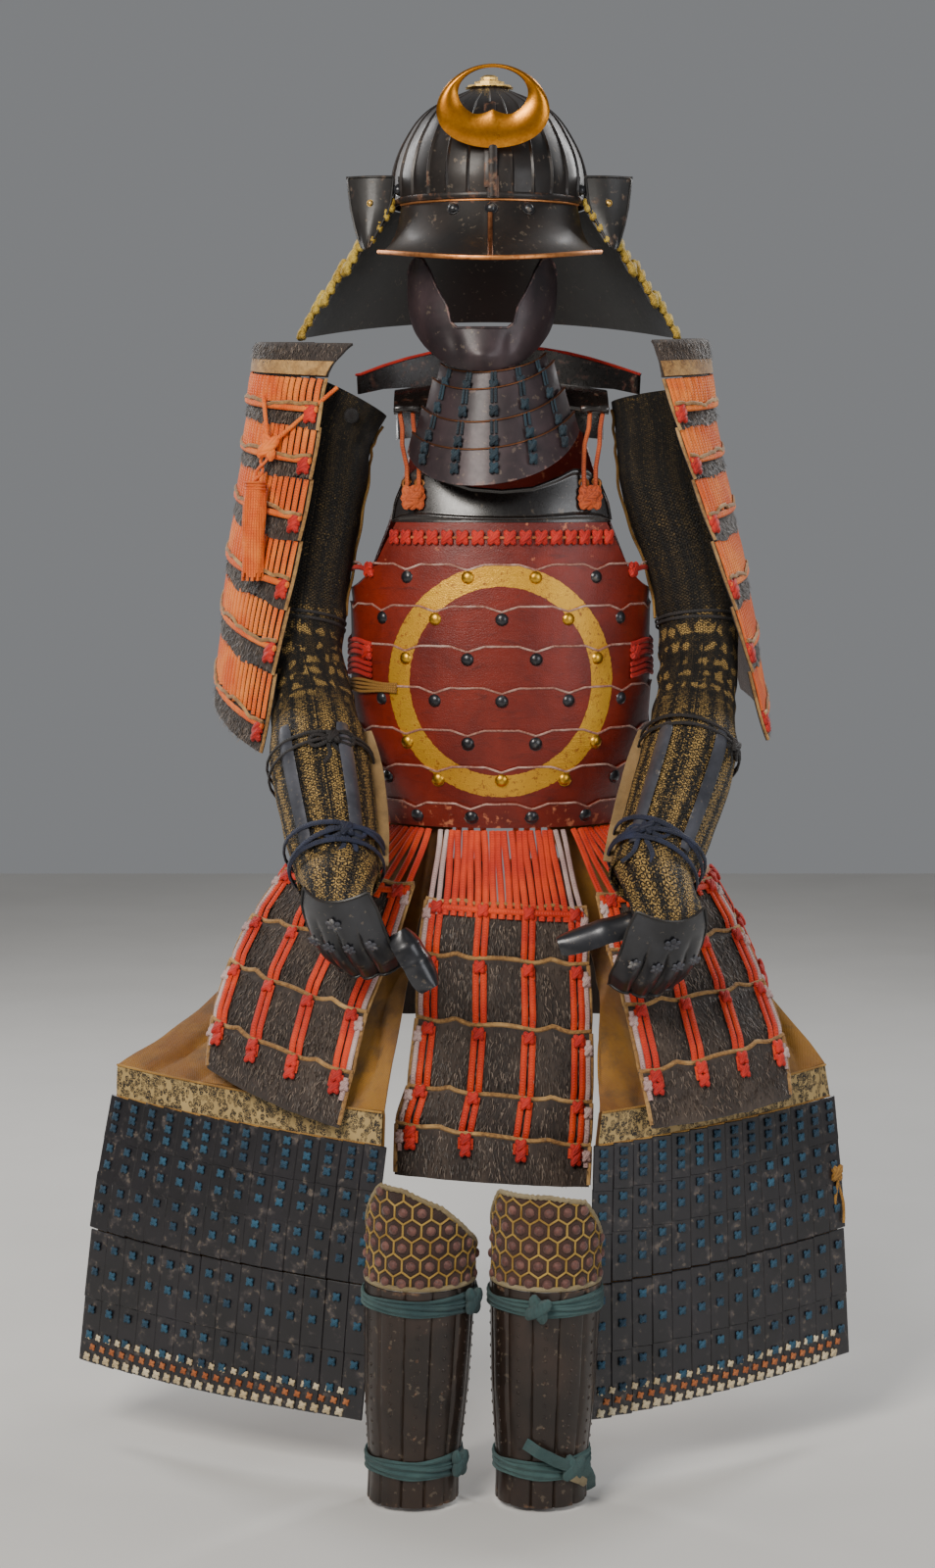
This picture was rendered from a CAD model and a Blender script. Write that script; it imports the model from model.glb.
# %% [markdown]
# # A seated suit of laced armour
# The suit was built as solids first: iron, leather and lacquer plates, and plain stand-ins for cloth,
# fur and lacing. Here the solids that already have their true shape get real finishes, and the soft
# pieces are made again with their creases, hair, braid and knots. Nothing may leave the solids' frame,
# so the frame is loaded before anything is made, and its box is kept for a comparison at the end.

# %% Load the frame
import math
import random

import bpy
from mathutils import Matrix, Vector, noise


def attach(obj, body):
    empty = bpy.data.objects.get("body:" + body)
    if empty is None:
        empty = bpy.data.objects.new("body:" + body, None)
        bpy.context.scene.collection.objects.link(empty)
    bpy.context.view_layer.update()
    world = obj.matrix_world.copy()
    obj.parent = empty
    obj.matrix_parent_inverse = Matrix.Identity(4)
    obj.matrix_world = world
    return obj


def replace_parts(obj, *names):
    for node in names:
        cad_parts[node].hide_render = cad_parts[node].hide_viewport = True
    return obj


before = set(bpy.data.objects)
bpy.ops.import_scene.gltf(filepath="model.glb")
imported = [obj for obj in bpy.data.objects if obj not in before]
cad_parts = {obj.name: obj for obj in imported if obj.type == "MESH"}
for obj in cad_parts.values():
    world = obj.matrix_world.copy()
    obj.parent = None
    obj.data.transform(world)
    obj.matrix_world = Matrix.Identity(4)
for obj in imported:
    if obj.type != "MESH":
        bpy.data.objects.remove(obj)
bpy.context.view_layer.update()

# %% [markdown]
# Every size below is in millimetres above the floor, which is how the maker measured the suit. The
# frame is in metres with its origin on the shoulder line, so one small function turns a measured
# point into a point of the frame. Sizes that change along a piece sit in short tables, and are read
# between their rows by a smooth curve, or by straight lines where an outline has corners.

# %% Measures
SHOULDER = 1160


def point(x, y, z):
    return Vector((x / 1000, y / 1000, (z - SHOULDER) / 1000))


def lerp(a, b, t):
    return a + (b - a) * t


def steps(count, low=0.0, high=1.0):
    return [lerp(low, high, i / count) for i in range(count + 1)]


def bump(distance, width):
    return max(0.0, 1 - abs(distance) / width)


def read(rows, column, at):
    """One column of a table, read smoothly at a value of its first column."""
    last = len(rows) - 1
    at = min(max(at, rows[0][0]), rows[last][0])
    k = max(i for i in range(last) if rows[i][0] <= at or i == 0)
    a, b = rows[k], rows[k + 1]
    before, after = rows[max(0, k - 1)], rows[min(last, k + 2)]
    span = b[0] - a[0]
    f = (at - a[0]) / span
    m0 = (b[column] - before[column]) / ((b[0] - before[0]) or 1) * span
    m1 = (after[column] - a[column]) / ((after[0] - a[0]) or 1) * span
    return (
        (2 * f**3 - 3 * f**2 + 1) * a[column] + (f**3 - 2 * f**2 + f) * m0
        + (3 * f**2 - 2 * f**3) * b[column] + (f**3 - f**2) * m1
    )


def read_straight(rows, column, at):
    at = min(max(at, rows[0][0]), rows[-1][0])
    for a, b in zip(rows, rows[1:]):
        if at <= b[0]:
            return lerp(a[column], b[column], (at - a[0]) / (b[0] - a[0]))
    return rows[-1][column]


def on_oval(x, y, wide, deep, degrees, z):
    """A point round an upright oval: 0 degrees is the front, 90 the wearer's left."""
    a = math.radians(degrees)
    return Vector((x + wide * math.sin(a), y - deep * math.cos(a), z))


print("the shoulder line is", SHOULDER, "mm above the floor")

# %% [markdown]
# The camera and the light come before the pieces, so that each piece can be judged as it is made.
# The camera stands where the photographer stood: 3.4 m in front, at the height of the waist, looking
# a little down. A large soft light above the left, a weaker one on the right and two narrow ones
# behind show the lacquer's gloss without hard shadows.

# %% Camera
bpy.ops.object.select_all(action="DESELECT")
bpy.ops.object.camera_add(location=(-0.025, -3.4, -0.096), rotation=(math.radians(90 - 5.98), 0, 0))
camera = bpy.context.object
camera.name = "camera"
camera.data.lens = 69.5
camera.data.sensor_width = 36
bpy.context.scene.camera = camera
print("camera at", [round(c, 3) for c in camera.location])

# %% Studio light and floor
def soft_light(name, where, aim, width, height, power, tint=(1, 1, 1)):
    bpy.ops.object.light_add(type="AREA", location=where)
    lamp = bpy.context.object
    lamp.name = name
    lamp.data.shape = "RECTANGLE"
    lamp.data.size, lamp.data.size_y = width, height
    lamp.data.energy = power
    lamp.data.color = tint
    lamp.rotation_euler = (Vector(aim) - Vector(where)).to_track_quat("-Z", "Y").to_euler()
    return lamp


soft_light("key_light", (-1.3, -2.6, 1.5), (0, 0, -0.35), 1.2, 1.5, 118, (1, 0.95, 0.88))
soft_light("fill_light", (2.2, -2.2, 0.3), (0, 0, -0.4), 1.4, 1.8, 30, (0.95, 0.97, 1))
soft_light("edge_light_right", (1.7, 1.6, 1.2), (0, 0, -0.2), 0.5, 1.8, 45)
soft_light("edge_light_left", (-1.8, 1.5, 1.0), (0, 0, -0.3), 0.5, 1.8, 40)

world = bpy.data.worlds.new("studio")
bpy.context.scene.world = world
world.use_nodes = True
world.node_tree.nodes["Background"].inputs["Color"].default_value = (0.78, 0.8, 0.83, 1)
world.node_tree.nodes["Background"].inputs["Strength"].default_value = 0.27

bpy.ops.mesh.primitive_plane_add(size=9, location=(0, 0, -SHOULDER / 1000 - 0.0005))
floor = bpy.context.object
floor.name = "studio_floor"

# %% [markdown]
# Materials are trees of nodes. These helpers keep them short: put adds a node and fills its sockets,
# maths adds one sum, ramp maps a number to colours and tinted mixes two colours.

# %% Helpers for material nodes
def rgb(code):
    """A colour from its six hex digits, as the linear numbers that a shader takes."""
    parts = [int(code[i : i + 2], 16) / 255 for i in (0, 2, 4)]
    return tuple(c / 12.92 if c <= 0.04045 else ((c + 0.055) / 1.055) ** 2.4 for c in parts) + (1,)


def feed(tree, socket, value):
    if isinstance(value, bpy.types.NodeSocket):
        tree.links.new(value, socket)
    else:
        socket.default_value = value


def put(tree, kind, settings=None, **sockets):
    made = tree.nodes.new(kind)
    for key, value in (settings or {}).items():
        setattr(made, key, value)
    for key, value in sockets.items():
        feed(tree, made.inputs[key.replace("_", " ")], value)
    return made


def maths(tree, operation, *values):
    made = put(tree, "ShaderNodeMath", {"operation": operation})
    for socket, value in zip(made.inputs, values):
        feed(tree, socket, value)
    return made.outputs[0]


def ramp(tree, fac, stops):
    made = put(tree, "ShaderNodeValToRGB", Fac=fac)
    line = made.color_ramp.elements
    while len(line) < len(stops):
        line.new(0.5)
    for mark, (at, colour) in zip(line, stops):
        mark.position = at
        mark.color = colour if len(colour) == 4 else (*colour, 1)
    return made.outputs["Color"]


def grey(value):
    return (value, value, value, 1)


def tinted(tree, fac, a, b, mode="MIX"):
    made = put(tree, "ShaderNodeMix", {"data_type": "RGBA", "blend_type": mode})
    for index, value in ((0, fac), (6, a), (7, b)):
        feed(tree, made.inputs[index], value)
    return made.outputs[2]


def grain(tree, vector, scale, detail=4.0, rough=0.55, warp=0.0):
    made = put(tree, "ShaderNodeTexNoise", Vector=vector, Scale=scale, Detail=detail, Roughness=rough, Distortion=warp)
    return made.outputs["Fac"]


def scaled(tree, vector, by):
    made = put(tree, "ShaderNodeVectorMath", {"operation": "MULTIPLY"})
    feed(tree, made.inputs[0], vector)
    made.inputs[1].default_value = by
    return made.outputs[0]


def own_axes(tree, stretch=(1, 1, 1)):
    """The piece's own coordinates in metres, stretched along an axis where a grain runs."""
    place = put(tree, "ShaderNodeTexCoord").outputs["Object"]
    return place if stretch == (1, 1, 1) else scaled(tree, place, stretch)


def laid_out(tree, name="UVMap"):
    """The piece's own cut-out coordinates, in metres across and along."""
    return put(tree, "ShaderNodeUVMap", {"uv_map": name}).outputs["UV"]


print("a leather red in linear numbers:", [round(c, 3) for c in rgb("7a2a20")[:3]])

# %% [markdown]
# Four effects come back on many pieces, so each is a node group with named sockets: plain weave,
# the braid of a silk cord, patina in blotches and specks, and wear on raised edges. A group gives
# out only masks and heights. The material that uses it decides what colour and gloss they mean.

# %% Start a node group
def start_group(name, inputs, outputs):
    tree = bpy.data.node_groups.new(name, "ShaderNodeTree")
    for title, kind, value in inputs:
        socket = tree.interface.new_socket(title, in_out="INPUT", socket_type=kind)
        if value is not None:
            socket.default_value = value
    for title, kind in outputs:
        tree.interface.new_socket(title, in_out="OUTPUT", socket_type=kind)
    return tree, tree.nodes.new("NodeGroupInput").outputs, tree.nodes.new("NodeGroupOutput").inputs


def use_group(tree, name, **sockets):
    made = put(tree, "ShaderNodeGroup", {"node_tree": bpy.data.node_groups[name]})
    for key, value in sockets.items():
        feed(tree, made.inputs[key.replace("_", " ")], value)
    return made.outputs


# %% Group: plain weave
VECTOR, NUMBER = "NodeSocketVector", "NodeSocketFloat"
tree, given, out = start_group(
    "Plain weave", [("Vector", VECTOR, None), ("Threads", NUMBER, 600.0), ("Slub", NUMBER, 0.3)],
    [("Height", NUMBER), ("Shade", NUMBER)])
wobble = grain(tree, given["Vector"], 60.0, 2)
threads = put(tree, "ShaderNodeVectorMath", {"operation": "SCALE"}, Scale=given["Threads"])
tree.links.new(given["Vector"], threads.inputs[0])
parts = put(tree, "ShaderNodeSeparateXYZ", Vector=threads.outputs[0]).outputs
warp = maths(tree, "ABSOLUTE", maths(tree, "SINE", maths(tree, "MULTIPLY", parts["X"], math.pi)))
weft = maths(tree, "ABSOLUTE", maths(tree, "SINE", maths(tree, "MULTIPLY", parts["Y"], math.pi)))
over = put(tree, "ShaderNodeTexChecker", Vector=threads.outputs[0], Scale=1.0).outputs["Fac"]
height = put(tree, "ShaderNodeMix", {"data_type": "FLOAT"})
for socket, value in zip((height.inputs[0], height.inputs[2], height.inputs[3]), (over, warp, weft)):
    tree.links.new(value, socket)
slubs = maths(tree, "MULTIPLY", maths(tree, "SUBTRACT", wobble, 0.5), given["Slub"])
tree.links.new(maths(tree, "ADD", height.outputs[0], slubs), out["Height"])
tree.links.new(maths(tree, "MULTIPLY_ADD", height.outputs[0], 0.5, maths(tree, "MULTIPLY", wobble, 0.5)), out["Shade"])
print("group made:", tree.name)

# %% Group: braided cord
# The cord's own coordinates run 0 to 1 around it and in metres along it. The strands lie as a
# row of V shapes, as on a flat braid.
tree, given, out = start_group(
    "Braid", [("Vector", VECTOR, None), ("Stitches", NUMBER, 300.0), ("Slant", NUMBER, 1.6)],
    [("Height", NUMBER), ("Shade", NUMBER)])
parts = put(tree, "ShaderNodeSeparateXYZ", Vector=given["Vector"]).outputs
side = maths(tree, "ABSOLUTE", maths(tree, "SINE", maths(tree, "MULTIPLY", parts["X"], 2 * math.pi)))
run = maths(tree, "MULTIPLY_ADD", parts["Y"], given["Stitches"], maths(tree, "MULTIPLY", side, given["Slant"]))
strand = maths(tree, "ABSOLUTE", maths(tree, "SINE", maths(tree, "MULTIPLY", run, math.pi)))
fibres = grain(tree, given["Vector"], 900.0, 2)
tree.links.new(maths(tree, "MULTIPLY_ADD", strand, 0.85, maths(tree, "MULTIPLY", fibres, 0.15)), out["Height"])
tree.links.new(maths(tree, "MULTIPLY_ADD", strand, 0.6, maths(tree, "MULTIPLY", fibres, 0.4)), out["Shade"])
print("group made:", tree.name)

# %% Group: patina
tree, given, out = start_group(
    "Patina", [("Vector", VECTOR, None), ("Scale", NUMBER, 18.0)],
    [("Blotch", NUMBER), ("Fine", NUMBER), ("Specks", NUMBER)])
tree.links.new(grain(tree, given["Vector"], given["Scale"], 5, 0.6, 0.4), out["Blotch"])
fine = grain(tree, given["Vector"], maths(tree, "MULTIPLY", given["Scale"], 14.0), 3, 0.6)
tree.links.new(fine, out["Fine"])
specks = grain(tree, given["Vector"], maths(tree, "MULTIPLY", given["Scale"], 5.0), 2, 0.7)
tree.links.new(maths(tree, "GREATER_THAN", maths(tree, "MULTIPLY", specks, fine), 0.37), out["Specks"])
print("group made:", tree.name)

# %% Group: edge wear
# Pointiness is above one half on ridges and below it in grooves. Noise breaks it up, so an edge
# is rubbed in patches and a groove holds dust unevenly.
tree, given, out = start_group(
    "Edge wear", [("Vector", VECTOR, None), ("Amount", NUMBER, 0.5), ("Scale", NUMBER, 70.0)],
    [("Worn", NUMBER), ("Groove", NUMBER)])
sharp = put(tree, "ShaderNodeNewGeometry").outputs["Pointiness"]
patches = grain(tree, given["Vector"], given["Scale"], 4, 0.65)
ridge = put(tree, "ShaderNodeClamp", Value=maths(tree, "MULTIPLY", maths(tree, "SUBTRACT", sharp, 0.5), 2.5), Max=0.2)
worn = maths(tree, "ADD", ridge.outputs[0], maths(tree, "SUBTRACT", patches, maths(tree, "SUBTRACT", 1.0, given["Amount"])))
clamped = put(tree, "ShaderNodeClamp", Value=maths(tree, "MULTIPLY", worn, 7.0))
tree.links.new(clamped.outputs[0], out["Worn"])
dip = put(tree, "ShaderNodeClamp", Value=maths(tree, "MULTIPLY", maths(tree, "SUBTRACT", 0.5, sharp), 5.0), Max=0.5)
tree.links.new(maths(tree, "MULTIPLY", dip.outputs[0], patches), out["Groove"])
print("group made:", tree.name)

# %% [markdown]
# Lacquered iron is the suit's main finish: near-black urushi over iron, glossy but slightly
# uneven from the brush, rubbed to russet or bare metal on ridges, with dust in the grooves. One
# function makes it, and the bowl, mask, splints and straps differ only in its colours and gloss.

# %% Lacquer and metal
def open_material(name):
    made = bpy.data.materials.new(name)
    made.use_nodes = True
    return made, made.node_tree, made.node_tree.nodes["Principled BSDF"]


def bumped(tree, shader, height, depth, strength=0.6):
    made = put(tree, "ShaderNodeBump", Strength=strength, Distance=depth, Height=height)
    tree.links.new(made.outputs[0], shader.inputs["Normal"])


def lacquer(name, base, light, worn, rough=0.3, amount=0.42, coat=0.5, dust="8a7a66", depth=0.0004, metallic=0.0):
    made, tree, shader = open_material(name)
    place = own_axes(tree)
    patina = use_group(tree, "Patina", Vector=place, Scale=16.0)
    edge = use_group(tree, "Edge wear", Vector=place, Amount=amount, Scale=80.0)
    colour = tinted(tree, ramp(tree, patina["Blotch"], [(0.35, grey(0)), (0.7, grey(1))]), rgb(base), rgb(light))
    colour = tinted(tree, maths(tree, "MULTIPLY", edge["Worn"], 0.85), colour, rgb(worn))
    colour = tinted(tree, maths(tree, "MULTIPLY", edge["Groove"], 0.5), colour, rgb(dust))
    colour = tinted(tree, maths(tree, "MULTIPLY", patina["Specks"], 0.25), colour, rgb(dust))
    tree.links.new(colour, shader.inputs["Base Color"])
    gloss = maths(tree, "MULTIPLY_ADD", patina["Fine"], 0.22, rough - 0.08)
    tree.links.new(maths(tree, "MULTIPLY_ADD", edge["Worn"], 0.2, gloss), shader.inputs["Roughness"])
    shader.inputs["Metallic"].default_value = metallic
    shader.inputs["Coat Weight"].default_value = coat
    shader.inputs["Coat Roughness"].default_value = 0.22
    height = maths(tree, "ADD", maths(tree, "MULTIPLY", patina["Blotch"], 0.7), maths(tree, "MULTIPLY", patina["Fine"], 0.3))
    bumped(tree, shader, height, depth, 0.5)
    return made


def bare_metal(name, base, light, tarnish, rough=0.32, amount=0.5, scale=40.0):
    made, tree, shader = open_material(name)
    place = own_axes(tree)
    patina = use_group(tree, "Patina", Vector=place, Scale=scale)
    edge = use_group(tree, "Edge wear", Vector=place, Amount=amount, Scale=120.0)
    colour = tinted(tree, patina["Fine"], rgb(base), rgb(light))
    colour = tinted(tree, ramp(tree, patina["Blotch"], [(0.45, grey(0)), (0.75, grey(0.8))]), colour, rgb(tarnish))
    colour = tinted(tree, edge["Worn"], colour, rgb(light))
    tree.links.new(colour, shader.inputs["Base Color"])
    shader.inputs["Metallic"].default_value = 1.0
    tree.links.new(maths(tree, "MULTIPLY_ADD", patina["Blotch"], 0.3, rough - 0.08), shader.inputs["Roughness"])
    bumped(tree, shader, patina["Fine"], 0.0002, 0.4)
    return made


bowl_iron = lacquer("bowl_iron", "171311", "2c221c", "6a4630", rough=0.44, amount=0.32, coat=0.15, metallic=0.3)
lame_iron = lacquer("lame_iron", "0f0d0b", "1b1613", "4a3528", rough=0.46, amount=0.24, coat=0.12)
mask_iron = lacquer("mask_iron", "251c1f", "453538", "80605a", rough=0.46, amount=0.28, coat=0.14, metallic=0.25)
splint_iron = lacquer("splint_iron", "33343b", "55565e", "8c8986", rough=0.4, amount=0.26, coat=0.25, metallic=0.35)
plate_iron = lacquer("plate_iron", "1c1c1f", "323338", "74706c", rough=0.3, amount=0.28, coat=0.4, metallic=0.4)
strap_lacquer = lacquer("strap_lacquer", "120e0c", "1f1714", "5d3325", rough=0.26, amount=0.24, coat=0.6)
shin_iron = lacquer("shin_iron", "1f1713", "35271f", "6d4f38", rough=0.4, amount=0.3, coat=0.25, metallic=0.25)
crest_copper = bare_metal("crest_copper", "b06a1c", "e39a34", "8a5218", rough=0.24, amount=0.3, scale=22.0)
dark_copper = bare_metal("dark_copper", "4a2d1c", "7d5136", "2a1a12", rough=0.45, scale=90.0)
gilt_dome = bare_metal("gilt_dome", "a8741c", "dba83c", "6b4a1c", rough=0.3, scale=60.0)
finial_brass = bare_metal("finial_brass", "a97f3a", "dcb566", "5b4526", rough=0.3, scale=90.0)
rim_copper = bare_metal("rim_copper", "a2572a", "d08a52", "55301c", rough=0.36, scale=90.0)
print("metals and lacquers made:", len(bpy.data.materials))

# %% [markdown]
# The cuirass is leather under red-brown lacquer, with a gold ring painted on the breast. The ring
# is not a separate piece, so it is a mask in the material: the distance from its centre, taken
# straight from the front as the painter saw it. The gold is thin, and rubbed through in places.

# %% Painted leather
RING = {"x": 11, "z": 833, "outer": 122, "inner": 99, "tall": 1.035}


def painted_leather(name, ringed):
    made, tree, shader = open_material(name)
    place = own_axes(tree)
    patina = use_group(tree, "Patina", Vector=place, Scale=14.0)
    edge = use_group(tree, "Edge wear", Vector=place, Amount=0.28, Scale=90.0)
    pores = put(tree, "ShaderNodeTexVoronoi", {"feature": "DISTANCE_TO_EDGE"}, Vector=place, Scale=420.0).outputs[0]
    crease = grain(tree, scaled(tree, place, (1, 1, 5)), 26.0, 5, 0.7, 1.2)
    colour = tinted(tree, ramp(tree, patina["Blotch"], [(0.3, grey(0)), (0.72, grey(1))]), rgb("5a1208"), rgb("842410"))
    colour = tinted(tree, ramp(tree, crease, [(0.56, grey(0)), (0.72, grey(0.6))]), colour, rgb("3c120f"))
    rubbed = ramp(tree, edge["Worn"], [(0.1, grey(0)), (0.7, grey(1))])
    colour = tinted(tree, rubbed, colour, rgb("b56a49"))
    colour = tinted(tree, maths(tree, "MULTIPLY", edge["Groove"], 0.8), colour, rgb("2a0d0b"))
    rough = maths(tree, "MULTIPLY_ADD", patina["Fine"], 0.25, 0.3)
    if ringed:
        parts = put(tree, "ShaderNodeSeparateXYZ", Vector=place).outputs
        across = maths(tree, "SUBTRACT", parts["X"], RING["x"] / 1000)
        up = maths(tree, "DIVIDE", maths(tree, "SUBTRACT", parts["Z"], (RING["z"] - SHOULDER) / 1000), RING["tall"])
        far = maths(tree, "SQRT", maths(tree, "ADD", maths(tree, "POWER", across, 2.0), maths(tree, "POWER", up, 2.0)))
        ragged = maths(tree, "MULTIPLY_ADD", patina["Fine"], 0.003, far)
        ring = maths(tree, "MULTIPLY", maths(tree, "LESS_THAN", ragged, RING["outer"] / 1000 + 0.0015),
                     maths(tree, "GREATER_THAN", ragged, RING["inner"] / 1000 + 0.0015))
        flaked = ramp(tree, grain(tree, place, 150.0, 5, 0.75), [(0.36, grey(0)), (0.44, grey(1))])
        kept = maths(tree, "MULTIPLY", ring, maths(tree, "MAXIMUM", flaked, 0.3))
        kept = maths(tree, "MULTIPLY", kept, maths(tree, "SUBTRACT", 1.0, maths(tree, "MULTIPLY", edge["Worn"], 0.5)))
        gold = tinted(tree, patina["Blotch"], rgb("b97a16"), rgb("eab83c"))
        colour = tinted(tree, kept, colour, gold)
        tree.links.new(maths(tree, "MULTIPLY", kept, 0.55), shader.inputs["Metallic"])
    tree.links.new(colour, shader.inputs["Base Color"])
    tree.links.new(rough, shader.inputs["Roughness"])
    shader.inputs["Specular IOR Level"].default_value = 0.4
    shader.inputs["Coat Weight"].default_value = 0.16
    shader.inputs["Coat Roughness"].default_value = 0.3
    height = maths(tree, "MULTIPLY_ADD", crease, 0.9, maths(tree, "MULTIPLY", maths(tree, "MINIMUM", pores, 0.3), 0.9))
    bumped(tree, shader, height, 0.0007, 0.7)
    return made


breast_leather = painted_leather("breast_leather", True)
back_leather = painted_leather("back_leather", False)
print("painted ring", 2 * RING["outer"], "mm across")

# %% [markdown]
# The lacing is flat silk braid. All its colours share one recipe: the braid group gives the V
# stitches, fibres fray the light, and the dye has faded unevenly. Silk has a soft sheen, which is a
# constant on the shader. Knots use it too, because they are tied from the same braid.

# %% Silk braid
def silk(name, base, light, dark, stitches=330.0, depth=0.0006):
    made, tree, shader = open_material(name)
    braid = use_group(tree, "Braid", Vector=laid_out(tree), Stitches=stitches)
    place = own_axes(tree)
    faded = grain(tree, place, 22.0, 4, 0.6)
    colour = tinted(tree, braid["Shade"], rgb(dark), rgb(base))
    colour = tinted(tree, ramp(tree, faded, [(0.42, grey(0)), (0.72, grey(0.75))]), colour, rgb(light))
    tree.links.new(colour, shader.inputs["Base Color"])
    fuzz = grain(tree, place, 1500.0, 2)
    tree.links.new(maths(tree, "MULTIPLY_ADD", fuzz, 0.25, 0.55), shader.inputs["Roughness"])
    shader.inputs["Sheen Weight"].default_value = 0.08
    shader.inputs["Sheen Roughness"].default_value = 0.4
    bumped(tree, shader, maths(tree, "MULTIPLY_ADD", fuzz, 0.25, braid["Height"]), depth, 0.8)
    return made


orange_silk = silk("orange_silk", "d62a00", "ee4c06", "8a1c00")
guard_silk = silk("guard_silk", "ee6208", "ff9636", "ae4408")
red_silk = silk("red_silk", "c01505", "e2331a", "6a0c05")
tie_silk = silk("tie_silk", "b9480f", "d8692a", "642004")
pale_silk = silk("pale_silk", "c2a09b", "dcc6bd", "7d5f5c")
blue_silk = silk("blue_silk", "1a3f57", "2d647f", "0a1c28")
throat_silk = silk("throat_silk", "142733", "23414f", "070f14")
yellow_silk = silk("yellow_silk", "b8952c", "dcc055", "5c4510")
navy_silk = silk("navy_silk", "171d33", "2a3352", "0a0d18")
cream_silk = silk("cream_silk", "d8c39a", "ece0c2", "8c744c")
rust_silk = silk("rust_silk", "b5622f", "cf8450", "6a3113")
black_silk = silk("black_silk", "171312", "2b2422", "080606")
ochre_silk = silk("ochre_silk", "a5752a", "c99b4d", "5d3d12")
print("silk colours:", [m.name for m in bpy.data.materials if m.name.endswith("_silk")])

# %% [markdown]
# Cloth is plain weave, seen close enough here to show its threads in the bump. The sleeves are
# gold-brown cloth under fine black mail, so their material adds rows of small rings over the weave.

# %% Woven cloth
def woven(name, base, light, dark, threads=700.0, slub=0.4, depth=0.0005, stain="5b4326", stained=0.5):
    made, tree, shader = open_material(name)
    cut = laid_out(tree)
    weave = use_group(tree, "Plain weave", Vector=cut, Threads=threads, Slub=slub)
    place = own_axes(tree)
    patina = use_group(tree, "Patina", Vector=place, Scale=9.0)
    colour = tinted(tree, weave["Shade"], rgb(dark), rgb(base))
    colour = tinted(tree, ramp(tree, patina["Blotch"], [(0.4, grey(0)), (0.75, grey(0.7))]), colour, rgb(light))
    colour = tinted(tree, maths(tree, "MULTIPLY", ramp(tree, grain(tree, place, 30.0, 5, 0.7), [(0.5, grey(0)), (0.7, grey(1))]), stained),
                    colour, rgb(stain))
    tree.links.new(colour, shader.inputs["Base Color"])
    tree.links.new(maths(tree, "MULTIPLY_ADD", patina["Fine"], 0.15, 0.78), shader.inputs["Roughness"])
    shader.inputs["Sheen Weight"].default_value = 0.1
    soft = grain(tree, place, 45.0, 4, 0.6)
    bumped(tree, shader, maths(tree, "MULTIPLY_ADD", soft, 2.0, weave["Height"]), depth, 0.9)
    return made


ochre_cloth = woven("ochre_cloth", "a8690c", "dc9f24", "4a2a06", threads=900.0, stained=0.7, depth=0.0011)
tan_cloth = woven("tan_cloth", "a8854f", "c9a877", "614625", threads=800.0)
teal_cloth = woven("teal_cloth", "2e4e50", "587a76", "12282b", threads=900.0, stain="2a3f3a")
quilt_cloth = woven("quilt_cloth", "3b241b", "543528", "1c0f0b", threads=700.0, stain="3a231a")
cream_cloth = woven("cream_cloth", "b9a271", "d8c79f", "6e5a34", threads=900.0, depth=0.0008)


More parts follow.
